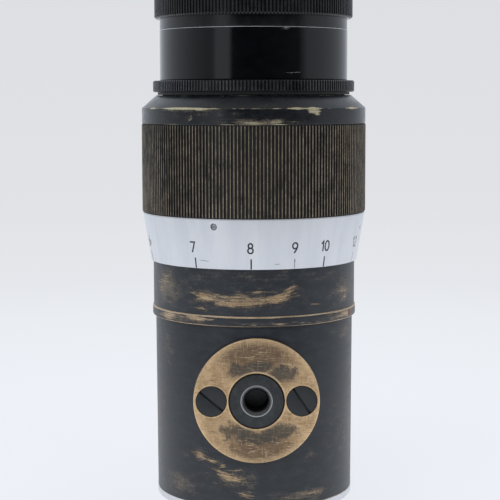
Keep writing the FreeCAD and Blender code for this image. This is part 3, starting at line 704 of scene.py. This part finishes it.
def insert_material(name, cx, ring=True):
    """Blackened steel with concentric turning marks about a Y axis through (cx, BOSS_Z). With ring, the outer edge
    carries a painted shadow of the gap round the insert.
    """
    n = Net(name)
    u = n.m("SUBTRACT", n.x, cx)
    v = n.m("SUBTRACT", n.z, BOSS_Z)
    rr = n.m("SQRT", n.m("ADD", n.m("MULTIPLY", u, u), n.m("MULTIPLY", v, v)))
    rings = n.m("SINE", n.m("MULTIPLY", rr, 17.0))
    mott = n.noise(n.vec(500, 500, 500), detail=5, rough=0.65)
    w = n.m("MULTIPLY", n.m("ADD", n.m("MULTIPLY", rings, 0.5), 0.5), n.ramp(mott, 0.35, 0.7))
    col = n.mix(n.m("MULTIPLY", w, 0.6 if ring else 0.15), (0.021, 0.024, 0.026), (0.085, 0.092, 0.096))
    if ring:
        # painted shadow: near black at the insert's outer edge, in the gap to the disc
        col = n.mix(n.ramp(rr, 5.98, 6.16), col, (0.003, 0.003, 0.003))
        n.bump(n.m("ADD", rings, mott), 0.4, 0.00002)
    else:
        n.bump(mott, 0.4, 0.00003)
    return n.finish(col, n.lin(mott, 0.3, 0.7, 0.36, 0.5), 0.25)


M_INSERT = insert_material("blackened_insert", 0.0)
M_SCREW = insert_material("blackened_screw", 0.0, ring=False)


def glass_material(name, tint=(0.985, 0.985, 1.0), coat=(0.66, 0.62, 0.86)):
    n = Net(name)
    n.bsdf.inputs["Transmission Weight"].default_value = 1.0
    n.bsdf.inputs["IOR"].default_value = 1.52
    n.bsdf.inputs["Roughness"].default_value = 0.0
    n.bsdf.inputs["Base Color"].default_value = (*tint, 1.0)
    n.bsdf.inputs["Specular Tint"].default_value = (*coat, 1.0)
    return n.mat


M_GLASS = glass_material("coated_glass")
M_RED = Net("red_enamel")
_s = M_RED.noise(M_RED.vec(3000, 3000, 3000), detail=4)
M_RED = M_RED.finish(M_RED.mix(M_RED.ramp(_s, 0.35, 0.7), (0.115, 0.007, 0.007), (0.05, 0.005, 0.005)), 0.35)
M_BLADE = turned_metal("blade_steel", (0.055, 0.057, 0.065), 0.38, lines=60, metal=0.8)


def paint_node(name, mat):
    o = NODES[name]
    o.data.materials.clear()
    o.data.materials.append(mat)


for name in ("rear_baffle", "rear_retainer", "rear_cell", "front_cell", "cell_spacer", "front_retainer",
             "front_bezel", "iris_base", "iris_cover", "head_barrel"):
    paint_node(name, M_MATTE)
for name in ("guide_key", "focus_stop", "aperture_pin"):
    paint_node(name, M_STEEL_Z)
for name in ("helicoid_nut", "thrust_ring", "iris_cam", "rf_cam"):
    paint_node(name, M_BRASS_IN)
for name in ("cemented_front", "cemented_rear", "middle_element", "front_element"):
    paint_node(name, M_GLASS)
for i in range(10):
    paint_node("iris_blade_%02d" % (i + 1), M_BLADE)

# ------------------------------------------------------------ turned pieces
RB0, RB1 = 23.8, 24.0


def barrel_r(z):
    return RB0 + (RB1 - RB0) * (z - 1.9) / 42.6


lathe("rear_barrel_shell", rounded([
    (20.5, 1.9, 0.0), (barrel_r(1.9), 1.9, 0.22), (24.0, 44.5, 0.10), (23.0, 44.5, 0.0), (23.0, 37.5, 0.0),
    (22.0, 37.5, 0.0), (22.0, 9.5, 0.0), (20.5, 8.0, 0.0)]),
    "rear_mount", "rear_barrel", M_BARREL, seg=288)
lathe("index_band_ring", rounded([
    (23.0, 44.5, 0.0), (24.62, 44.5, 0.10), (24.75, 44.72, 0.08), (24.75, 46.68, 0.08), (24.58, 46.9, 0.10),
    (23.0, 46.9, 0.0)]),
    "rear_mount", "index_band", M_BAND, seg=288)
lathe("guide_sleeve_tube", rounded([
    (20.66, 38.0, 0.0), (22.98, 38.0, 0.1), (22.98, 46.9, 0.0), (24.5, 46.9, 0.0), (24.5, 83.5, 0.15),
    (23.3, 83.5, 0.1), (23.3, 57.0, 0.0), (20.66, 56.0, 0.0)]),
    "rear_mount", "guide_sleeve", M_SLEEVE, seg=288)

# flange ring: helical M39 x 26 tpi thread under the seating face
PITCH = 25.4 / 26
thread_rows = dense([
    (17.78, -5.0), (19.05, -5.0), (19.5, -4.6), (19.5, -0.75), (19.0, -0.62), (19.0, 0.0)], -4.6, -0.75, 0.12, 19.4)
flange_prof = thread_rows + rounded([
    (23.45, 0.0, 0.06), (23.9, 0.45, 0.10), (23.9, 1.9, 0.06), (20.45, 1.9, 0.0), (20.45, 6.0, 0.1), (17.78, 6.0, 0.1)])


def flange_rad(r, z, a):
    if -4.61 <= z <= -0.74 and r > 19.4:
        t = (z / PITCH - a / (2 * math.pi)) % 1.0
        tri = abs(2 * t - 1)
        fade = min(1.0, (z + 4.62) / 0.3, (-0.73 - z) / 0.3)
        return 19.5 - 0.50 * max(0.0, tri - 0.12) / 0.88 * max(0.0, fade)
    return r


flange = lathe("flange_ring_threaded", flange_prof, "rear_mount", "flange_ring", M_FLANGE, seg=240,
               rad=flange_rad, angle=40)


# --------------------------------------------------------------- focus ring
def cone_r(z):
    return 25.0 + 1.95 * (z - 57.75) / 11.65


lathe("scale_ring_cone", rounded([
    (24.6, 57.75, 0.0), (25.0, 57.75, 0.09), (26.95, 69.4, 0.09), (25.57, 69.4, 0.0), (25.57, 64.6, 0.0),
    (24.6, 64.6, 0.0)]), "focus_ring", "scale_ring", M_CHROME, seg=288)

SET_Z, SET_R = 67.6, 0.65


def solid_between(name, rings, axis_m, n=28):
    """Closed solid of revolution from (radius, along) rings, placed by a matrix."""
    verts, faces = [], []
    rows = len(rings)
    for j in range(n):
        a = 2 * math.pi * j / n
        for r, t in rings:
            verts.append(tuple(axis_m @ Vector((r * math.cos(a) * MM, r * math.sin(a) * MM, t * MM))))
    for j in range(n):
        q = (j + 1) % n
        for i in range(rows - 1):
            faces.append((j * rows + i, q * rows + i, q * rows + i + 1, j * rows + i + 1))
    me = bpy.data.meshes.new(name)
    me.from_pydata(verts, [], faces)
    bm = bmesh.new()
    bm.from_mesh(me)
    bmesh.ops.remove_doubles(bm, verts=bm.verts, dist=1e-7)
    bmesh.ops.recalc_face_normals(bm, faces=bm.faces)
    bm.to_mesh(me)
    bm.free()
    o = bpy.data.objects.new(name, me)
    bpy.context.scene.collection.objects.link(o)
    return o


def cut(o, cutters, angle=35):
    """Takes the cutters out of o and keeps the result as its mesh."""
    for c in cutters:
        b = o.modifiers.new("cut", "BOOLEAN")
        b.operation = "DIFFERENCE"
        b.solver = "EXACT"
        b.object = c
    dg = bpy.context.evaluated_depsgraph_get()
    res = bpy.data.meshes.new_from_object(o.evaluated_get(dg))
    o.modifiers.clear()
    o.data = res
    for c in cutters:
        bpy.data.objects.remove(c)
    smooth(res, angle)


def radial(th):
    """Matrix whose Z points outwards at th degrees, at the height of the set screws."""
    a = math.radians(th)
    out = Vector((math.sin(a), -math.cos(a), 0.0))
    up = Vector((0, 0, 1))
    side = up.cross(out)
    m = Matrix((side, up, out)).transposed().to_4x4()
    return Matrix.Translation((0, 0, SET_Z * MM)) @ m


def across(cx):
    """Matrix whose Z runs along +Y through (cx, BOSS_Z)."""
    return (Matrix.Translation((cx * MM, 0, BOSS_Z * MM)) @ Matrix.Rotation(math.radians(-90), 4, "X"))


cut(bpy.data.objects["rear_barrel_shell"], [
    solid_between("socket_bore", [(0, -27.0), (6.40, -27.0), (6.40, -23.38), (5.64, -23.38), (5.64, -17.0), (0, -17.0)],
                  across(0.0), 64),
    solid_between("screw_bore_a", [(0, -27.0), (3.52, -27.0), (3.52, -23.78), (1.64, -23.78), (1.64, -17.0), (0, -17.0)],
                  across(-10.4), 48),
    solid_between("screw_bore_b", [(0, -27.0), (3.52, -27.0), (3.52, -23.78), (1.64, -23.78), (1.64, -17.0), (0, -17.0)],
                  across(10.4), 48)])
def upright(r, deg):
    """Matrix whose Z runs up through (r, deg), deg counted from +X."""
    a = math.radians(deg)
    return Matrix.Translation((r * math.cos(a) * MM, r * math.sin(a) * MM, 0))


cut(flange, [solid_between("sink_%d" % i, [(0, -0.6), (1.30, -0.6), (1.30, 0.0), (0.80, 0.93), (0.76, 0.93), (0.76, 2.6), (0, 2.6)],
                           upright(21.95, 45 + 90 * i), 40) for i in range(4)], 40)
scale = bpy.data.objects["scale_ring_cone"]
SET_TH = [-21.3 + 120 * i for i in range(3)]
cut(scale, [solid_between("bore%d" % i, [(0, 25.8), (0.80, 25.8), (0.80, 28.0), (0, 28.0)], radial(t))
            for i, t in enumerate(SET_TH)], 33)
screw_data = []
for i, t in enumerate(SET_TH):
    m = radial(t)
    sc = solid_between("set_screw_%d" % (i + 1), [(0, 24.7), (0.62, 24.7), (0.62, 26.46), (0.56, 26.52), (0, 26.52)], m)
    cb = bmesh.new()
    bmesh.ops.create_cube(cb, size=1.0)
    bmesh.ops.transform(cb, matrix=m @ Matrix.Translation((0, 0, 26.5 * MM)) @ Matrix.Rotation(0.15, 4, "Z")
                        @ Matrix.Diagonal((2.4 * MM, 0.30 * MM, 0.9 * MM, 1.0)), verts=cb.verts)
    cm = bpy.data.meshes.new("slot")
    cb.to_mesh(cm)
    cb.free()
    co = bpy.data.objects.new("slot", cm)
    bpy.context.scene.collection.objects.link(co)
    cut(sc, [co])
    sc.data.materials.clear()
    sc.data.materials.append(M_SET)
    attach(sc, "focus_ring")
    if i == 0:
        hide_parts("scale_screws")

ink, ink_worn = [], []
MARKS = [("inf", 186.6), ("100", None), ("50", None), ("30", None), ("20", None), ("15", None), ("12", None),
         ("10", None), ("9", None), ("8", None), ("7", None), ("6", None), ("5", None)]
SEEN = {"7": -33.2, "8": -2.65, "9": 20.4, "10": 38.7, "12": 66.8}
for text, th in MARKS:
    if th is None:
        th = SEEN.get(text, 186.6 - 1345.0 / (float(text) - 0.886))
    dst = ink_worn if text in ("12", "9", "50") else ink
    tick_w = 0.21 if text in ("9", "12", "50") else 0.34
    dst.append(ribbon([(0, 57.98), (0, 60.12)], tick_w, on_surface(cone_r, th)))
    dig = ink_worn if text == "12" else ink
    for st in text_strokes(text, 2.28):
        off = -0.36 if text == "7" else (-0.12 if text in ("8", "10", "9") else 0.0)
        dig.append(ribbon([(p[0] + off, p[1] + 61.58) for p in st], 0.36, on_surface(cone_r, th)))
v, f = merge(ink)
add("distance_figures", v, f, "focus_ring", None, M_INK, weld=False)
v, f = merge(ink_worn)
add("distance_figures_worn", v, f, "focus_ring", None, M_INK_WORN, weld=False)

GRIP_R, TEETH = 27.078, 202
_fl = flute(GRIP_R, 0.36, TEETH, 0.26, 0.17)


def grip_rad(r, z, a):
    return min(r, _fl(r, z, a)) if r > 26.5 else r


lathe("grip_flutes", rounded([
    (25.58, 69.4, 0.0), (26.82, 69.4, 0.0), (27.078, 69.72, 0.10), (27.078, 90.30, 0.10), (26.86, 90.6, 0.0),
    (25.58, 90.6, 0.0)]), "focus_ring", "grip_ring", M_GRIP, seg=TEETH * 10, rad=grip_rad, angle=50)
lathe("cone_ring_shell", rounded([
    (22.35, 90.6, 0.0), (26.86, 90.6, 0.04), (27.0, 90.78, 0.05), (27.0, 94.3, 0.10), (23.55, 97.3, 0.10),
    (23.40, 97.35, 0.0), (22.35, 97.35, 0.05)]), "focus_ring", "cone_ring", M_CONE, seg=288)

# ---------------------------------------------------------------- head parts
_ap = flute(24.28, 0.28, 186, 0.40, 0.16)
lathe("aperture_ring_knurl", rounded([
    (21.66, 98.1, 0.0), (24.02, 98.1, 0.0), (24.28, 98.36, 0.07), (24.28, 100.52, 0.07), (24.0, 100.8, 0.0),
    (21.66, 100.8, 0.0)]), "aperture_control", "aperture_ring", M_APERTURE, seg=186 * 9,
    rad=lambda r, z, a: min(r, _ap(r, z, a)) if r > 23.7 else r, angle=50)
lathe("front_tube_shell", rounded([
    (21.62, 100.86, 0.0), (22.5, 100.86, 0.05), (22.62, 101.0, 0.06), (22.62, 112.8, 0.05), (20.4, 112.8, 0.0),
    (20.4, 106.05, 0.0), (21.62, 106.05, 0.0)]), "head", "front_tube", M_TUBE, seg=288)
_fr = flute(23.8, 0.32, 175, 0.42, 0.16)
FP = 0.75


def front_rad(r, z, a):
    if r > 22.9 and z > 115.4:
        return min(r, _fr(r, z, a))
    if 117.45 <= z <= 123.05 and r < 21.3:
        t = (z / FP - a / (2 * math.pi)) % 1.0
        tri = abs(2 * t - 1)
        fade = max(0.0, min(1.0, (z - 117.5) / 0.3, (123.0 - z) / 0.3))
        return 21.1 + 0.38 * max(0.0, tri - 0.1) / 0.9 * fade
    return r


front_prof = rounded([
    (20.4, 112.8, 0.0), (22.5, 112.8, 0.05), (22.5, 115.5, 0.0), (23.3, 115.5, 0.0), (23.8, 115.9, 0.10),
    (23.8, 122.95, 0.12), (23.15, 123.5, 0.12), (21.3, 123.5, 0.08), (21.1, 123.3, 0.0)])
k = 44
front_prof += [(21.1, 123.05 - (123.05 - 117.45) * j / k) for j in range(k + 1)]
front_prof += [(21.1, 117.2), (20.4, 115.52)]
lathe("front_ring_knurl", front_prof, "head", "front_ring", M_FRONT_KNURL, seg=175 * 8, rad=front_rad,
      angle=50)

# f-number scale, round the back of the front tube, and an index line down the guide sleeve and band
white = []
for i, text in enumerate(("4", "5.6", "8", "11", "16", "22", "32")):
    th = 150.0 + 10.0 * i
    white.append(ribbon([(0, 101.3), (0, 102.2)], 0.16, on_surface(lambda z: 22.62, th)))
    for st in text_strokes(text, 1.55):
        white.append(ribbon([(p[0], p[1] + 102.75) for p in st], 0.17, on_surface(lambda z: 22.62, th)))
v, f = merge(white)
add("aperture_figures", v, f, "head", None, M_WHITE, weld=False)
line = [ribbon([(0, 47.2), (0, 73.0)], 0.26, on_surface(lambda z: 24.5, 186.6)),
        ribbon([(0, 44.75), (0, 46.65)], 0.26, on_surface(lambda z: 24.75, 186.6), out_r=0.0)]
v, f = merge(line)
add("focus_index_line", v, f, "rear_mount", None, M_WHITE, weld=False)


# -------------------------------------------------------------- tripod boss
def ring_loop(r, y, cx=0.0, n=192, clip=None):
    out = []
    for j in range(n):
        a = 2 * math.pi * j / n
        x, z = cx + r * math.sin(a), BOSS_Z + r * math.cos(a)
        yy = y if y is not None else clip(x, z)
        out.append((x * MM, yy * MM, z * MM))
    return out


def boss_plate():
    """Face with three round holes, bevelled rim and walls saddled on the barrel."""
    src = NODES["tripod_plate"]
    me = src.data.copy()
    bm = bmesh.new()
    bm.from_mesh(me)
    bmesh.ops.remove_doubles(bm, verts=bm.verts, dist=2e-6)
    bmesh.ops.dissolve_limit(bm, angle_limit=math.radians(0.3), verts=bm.verts, edges=bm.edges)
    bm.to_mesh(me)
    bm.free()
    o = bpy.data.objects.new("tripod_plate_brass", me)
    bpy.context.scene.collection.objects.link(o)
    me.materials.clear()
    me.materials.append(M_DISC)
    smooth(me, 30)
    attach(o, "rear_mount")
    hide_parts("tripod_plate")
    return o


paint_node("tripod_plate", M_DISC)


def lathe_y(name, prof, cx, body, node, mat, seg=192, rad=None, angle=32.0, cut=None):
    """Closed (r, y) loop in mm turned about the Y axis through (cx, BOSS_Z)."""
    verts, faces = [], []
    rows = len(prof)
    for j in range(seg):
        a = 2 * math.pi * j / seg
        for r, y in prof:
            rr = rad(r, y, a) if rad else r
            verts.append(((cx + rr * math.sin(a)) * MM, y * MM, (BOSS_Z + rr * math.cos(a)) * MM))
    for j in range(seg):
        k = (j + 1) % seg
        for i in range(rows):
            n = (i + 1) % rows
            faces.append((j * rows + i, j * rows + n, k * rows + n, k * rows + i))
    return add(name, verts, faces, body, node, mat, angle)


F0 = -BOSS_FACE
lathe_y("tripod_bush_insert", rounded([
    (3.69, F0 + 0.06, 0.0), (6.26, F0 + 0.05, 0.12), (6.36, F0 + 0.2, 0.0), (6.36, F0 + 2.4, 0.0), (5.6, F0 + 2.4, 0.0),
    (5.6, F0 + 6.98, 0.1), (0.0, F0 + 6.98, 0.0), (0.0, F0 + 6.22, 0.0), (3.69, F0 + 6.22, 0.0)]), 0.0,
    "rear_mount", "tripod_bush", M_INSERT)
UNC = 25.4 / 20
k = 60
bore = [(2.6, F0 + 6.1 - (6.1 - 0.72) * j / k) for j in range(k + 1)]


def unc_rad(r, y, a):
    if r < 2.61 and F0 + 0.7 <= y <= F0 + 6.11:
        t = (y / UNC + a / (2 * math.pi)) % 1.0
        tri = abs(2 * t - 1)
        fade = max(0.0, min(1.0, (y - F0 - 0.72) / 0.35, (F0 + 6.1 - y) / 0.2))
        return 2.6 + 0.52 * max(0.0, tri - 0.14) / 0.86 * fade
    return r


lathe_y("tripod_thread_steel", rounded([
    (3.22, F0 + 0.03, 0.04), (3.69, F0 + 0.02, 0.05), (3.69, F0 + 6.2, 0.0), (2.6, F0 + 6.2, 0.0)]) + bore[1:],
    0.0, "rear_mount", "tripod_thread", M_BORE, rad=unc_rad, angle=45)


def slotted_head(name, cx, slope, body, mat):
    """Screw head with a milled slot: a disc face cut by two walls."""
    n = 96
    R, top, depth, w, length = 3.5, F0 + 0.06, 0.72, 0.27, 3.5
    bm = bmesh.new()
    prof = rounded([(0.0, top, 0.0), (R, top, 0.10), (R, top + 1.94, 0.0), (1.6, top + 1.94, 0.0),
                    (1.6, top + 6.4, 0.2), (0.0, top + 6.4, 0.0)])
    verts, faces = [], []
    rows = len(prof)
    for j in range(n):
        a = 2 * math.pi * j / n
        for r, y in prof:
            verts.append(((cx + r * math.sin(a)) * MM, y * MM, (BOSS_Z + r * math.cos(a)) * MM))
    for j in range(n):
        q = (j + 1) % n
        for i in range(rows - 1):
            faces.append((j * rows + i, j * rows + i + 1, q * rows + i + 1, q * rows + i))
    me = bpy.data.meshes.new(name)
    me.from_pydata(verts, [], faces)
    bm.from_mesh(me)
    bmesh.ops.remove_doubles(bm, verts=bm.verts, dist=1e-7)
    bmesh.ops.recalc_face_normals(bm, faces=bm.faces)
    bm.to_mesh(me)
    bm.free()
    o = bpy.data.objects.new(name, me)
    bpy.context.scene.collection.objects.link(o)
    cm = bpy.data.meshes.new(name + "_cut")
    cb = bmesh.new()
    bmesh.ops.create_cube(cb, size=1.0)
    s = math.radians(slope)
    mtx = (Matrix.Translation((cx * MM, (top + depth / 2 - 0.5) * MM, BOSS_Z * MM)) @ Matrix.Rotation(s, 4, "Y")
           @ Matrix.Diagonal((9.0 * MM, (depth + 1.0) * MM, w * 2 * MM, 1.0)))
    bmesh.ops.transform(cb, matrix=mtx, verts=cb.verts)
    cb.to_mesh(cm)
    cb.free()
    c = bpy.data.objects.new(name + "_cut", cm)
    bpy.context.scene.collection.objects.link(c)
    b = o.modifiers.new("slot", "BOOLEAN")
    b.operation = "DIFFERENCE"
    b.solver = "EXACT"
    b.object = c
    bv = o.modifiers.new("edge", "BEVEL")
    bv.width = 0.00005
    bv.segments = 2
    bv.limit_method = "ANGLE"
    bv.angle_limit = math.radians(50)
    dg = bpy.context.evaluated_depsgraph_get()
    res = bpy.data.meshes.new_from_object(o.evaluated_get(dg))
    o.modifiers.clear()
    o.data = res
    bpy.data.objects.remove(c)
    res.materials.clear()
    res.materials.append(mat)
    smooth(res, 35)
    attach(o, body)
    return o


s1 = slotted_head("tripod_screw_left", -10.4, 40.0, "rear_mount", M_SCREW)
s2 = slotted_head("tripod_screw_right", 10.4, 56.0, "rear_mount", M_SCREW)
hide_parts("tripod_screws")
paint_node("flange_screws", M_STEEL_Z)
paint_node("red_dot", M_RED)

# --------------------------------------------------------------------- stage
floor_z = cad_box[0][2] - 0.00004


def emission_mat(name, build):
    """Stage material whose emission is built from object coordinates."""
    n = Net(name)
    n.t.nodes.remove(n.bsdf)
    e = n.t.nodes.new("ShaderNodeEmission")
    n.t.links.new(e.outputs[0], n.out.inputs[0])
    color, strength = build(n)
    n.put(e.inputs[0], color if isinstance(color, bpy.types.NodeSocket) else (*color, 1.0))
    n.put(e.inputs[1], strength)
    return n.mat


def revolve_stage(name, prof, mat, seg=96):
    verts, faces = [], []
    rows = len(prof)
    for j in range(seg):
        a = 2 * math.pi * j / seg
        for r, z in prof:
            verts.append((r * math.cos(a), r * math.sin(a), z))
    for j in range(seg):
        k = (j + 1) % seg
        for i in range(rows - 1):
            faces.append((j * rows + i, k * rows + i, k * rows + i + 1, j * rows + i + 1))
    me = bpy.data.meshes.new(name)
    me.from_pydata(verts, [], faces)
    bm = bmesh.new()
    bm.from_mesh(me)
    bmesh.ops.remove_doubles(bm, verts=bm.verts, dist=1e-6)
    bm.to_mesh(me)
    bm.free()
    me.polygons.foreach_set("use_smooth", [True] * len(me.polygons))
    me.materials.append(mat)
    o = bpy.data.objects.new(name, me)
    bpy.context.scene.collection.objects.link(o)
    return o


def piecewise(n, v, pts):
    """Broken line through (value, result) pairs."""
    out = pts[0][1]
    for (a0, f0), (a1, f1) in zip(pts, pts[1:]):
        if abs(f1 - f0) > 1e-9:
            out = n.m("ADD", n.lin(v, a0, a1, 0.0, f1 - f0), out)
    return out


def floor_material():
    """Pale paper near the object, blending further out into a glowing backdrop whose painted light fades with distance
    and height.
    """
    n = Net("studio_paper")
    n.bsdf.inputs["Base Color"].default_value = (0.72, 0.735, 0.755, 1.0)
    n.bsdf.inputs["Roughness"].default_value = 0.95
    n.bsdf.inputs["Specular IOR Level"].default_value = 0.1
    e = n.t.nodes.new("ShaderNodeEmission")
    far = n.m("ADD", n.r, n.z)
    n.put(e.inputs[0], n.mix(n.lin(far, 100.0, 800.0, 0.0, 1.0), (0.965, 0.99, 1.04), (0.965, 0.98, 1.015)))
    n.put(e.inputs[1], piecewise(n, far, [(60, 1.08), (250, 0.93), (450, 0.81), (1100, 0.775), (2000, 0.735)]))
    mx = n.t.nodes.new("ShaderNodeMixShader")
    f = n.lin(n.m("ADD", n.r, n.m("MULTIPLY", n.z, 1.0)), 60.0, 450.0, 0.62, 1.0)
    n.put(mx.inputs[0], f)
    n.t.links.new(n.bsdf.outputs[0], mx.inputs[1])
    n.t.links.new(e.outputs[0], mx.inputs[2])
    # seen from underneath the paper is clear, so that the mount can be looked at
    g = n.t.nodes.new("ShaderNodeNewGeometry")
    clear = n.t.nodes.new("ShaderNodeBsdfTransparent")
    two = n.t.nodes.new("ShaderNodeMixShader")
    n.t.links.new(g.outputs["Backfacing"], two.inputs[0])
    n.t.links.new(clear.outputs[0], two.inputs[1])
    n.t.links.new(mx.outputs[0], two.inputs[2])
    n.t.links.new(two.outputs[0], n.out.inputs[0])
    return n.mat


floor_prof = [(0.0, floor_z), (0.1, floor_z), (0.2, floor_z), (0.35, floor_z), (0.6, floor_z), (0.9, floor_z)]
for _k in range(1, 13):
    _a = math.pi / 2 * _k / 12
    floor_prof.append((0.9 + 0.6 * math.sin(_a), floor_z + 0.6 - 0.6 * math.cos(_a)))
floor_prof.append((1.5, floor_z + 1.8))
revolve_stage("studio_floor", floor_prof, floor_material())


def tent_light(n):
    """Soft wall of light: dark in front with one narrow window on the left, brighter at the sides and back."""
    g = piecewise(n, n.deg, [(-180, 1.0), (-147, 0.95), (-119, 0.80), (-94, 0.64), (-74, 0.45), (-56, 0.32), (-50, 0.36),
                             (-46, 0.76), (-31, 0.76), (-26, 0.05), (-8, 0.015), (23, 0.03), (54, 0.08), (66, 0.58),
                             (95, 0.65), (119, 0.68), (147, 0.80), (180, 1.0)])
    return (0.89, 0.945, 1.03), g


tent = revolve_stage("studio_tent", [(0.62, floor_z + 0.001), (0.62, 0.30), (0.62, 0.62), (0.56, 0.80), (0.44, 0.95)],
                     emission_mat("tent_light", tent_light), seg=128)
tent.visible_camera = False
tent.visible_shadow = False


def area(name, loc, target, size, power, color=(1, 1, 1), size_y=None):
    l = bpy.data.lights.new(name, "AREA")
    l.shape = "RECTANGLE"
    l.size = size
    l.size_y = size_y or size
    l.energy = power
    l.color = color
    o = bpy.data.objects.new(name, l)
    d = Vector(target) - Vector(loc)
    o.rotation_euler = d.to_track_quat("-Z", "Y").to_euler()
    o.location = loc
    bpy.context.scene.collection.objects.link(o)
    return o


area("top_light", (0, 0.15, 1.1), (0, 0, 0.05), 1.2, 1.3, (0.98, 0.99, 1.0))
area("key_light", (-0.25, -0.75, 0.85), (0, 0, 0.05), 0.7, 4.0, (1.0, 1.0, 1.0))
area("fill_light", (0.45, -0.65, 0.65), (0, 0, 0.05), 0.5, 1.6, (1.0, 1.0, 1.0))

world = bpy.data.worlds.new("studio_world")
bpy.context.scene.world = world
world.use_nodes = True
world.node_tree.nodes["Background"].inputs[0].default_value = (0.78, 0.80, 0.83, 1.0)
world.node_tree.nodes["Background"].inputs[1].default_value = 0.25
bpy.context.scene.view_settings.view_transform = "Standard"

# -------------------------------------------------------------------- camera
cam_data = bpy.data.cameras.new("camera")
cam_data.sensor_width = 36.0
cam_data.lens = 1429.6 / 500.0 * 36.0
cam_data.clip_start = 0.01
cam_data.clip_end = 20.0
cam = bpy.data.objects.new("camera", cam_data)
TURN = math.radians(-1.07)
rz = Matrix.Rotation(TURN, 4, "Z")
pos = rz @ Vector((-0.954 * MM, -348.03 * MM, 96.94 * MM))
cam.matrix_world = (Matrix.Translation(pos) @ rz @ Matrix.Rotation(math.radians(90.0 - 6.116), 4, "X")
                    @ Matrix.Rotation(math.radians(-0.129), 4, "Z"))
bpy.context.scene.collection.objects.link(cam)
bpy.context.scene.camera = cam
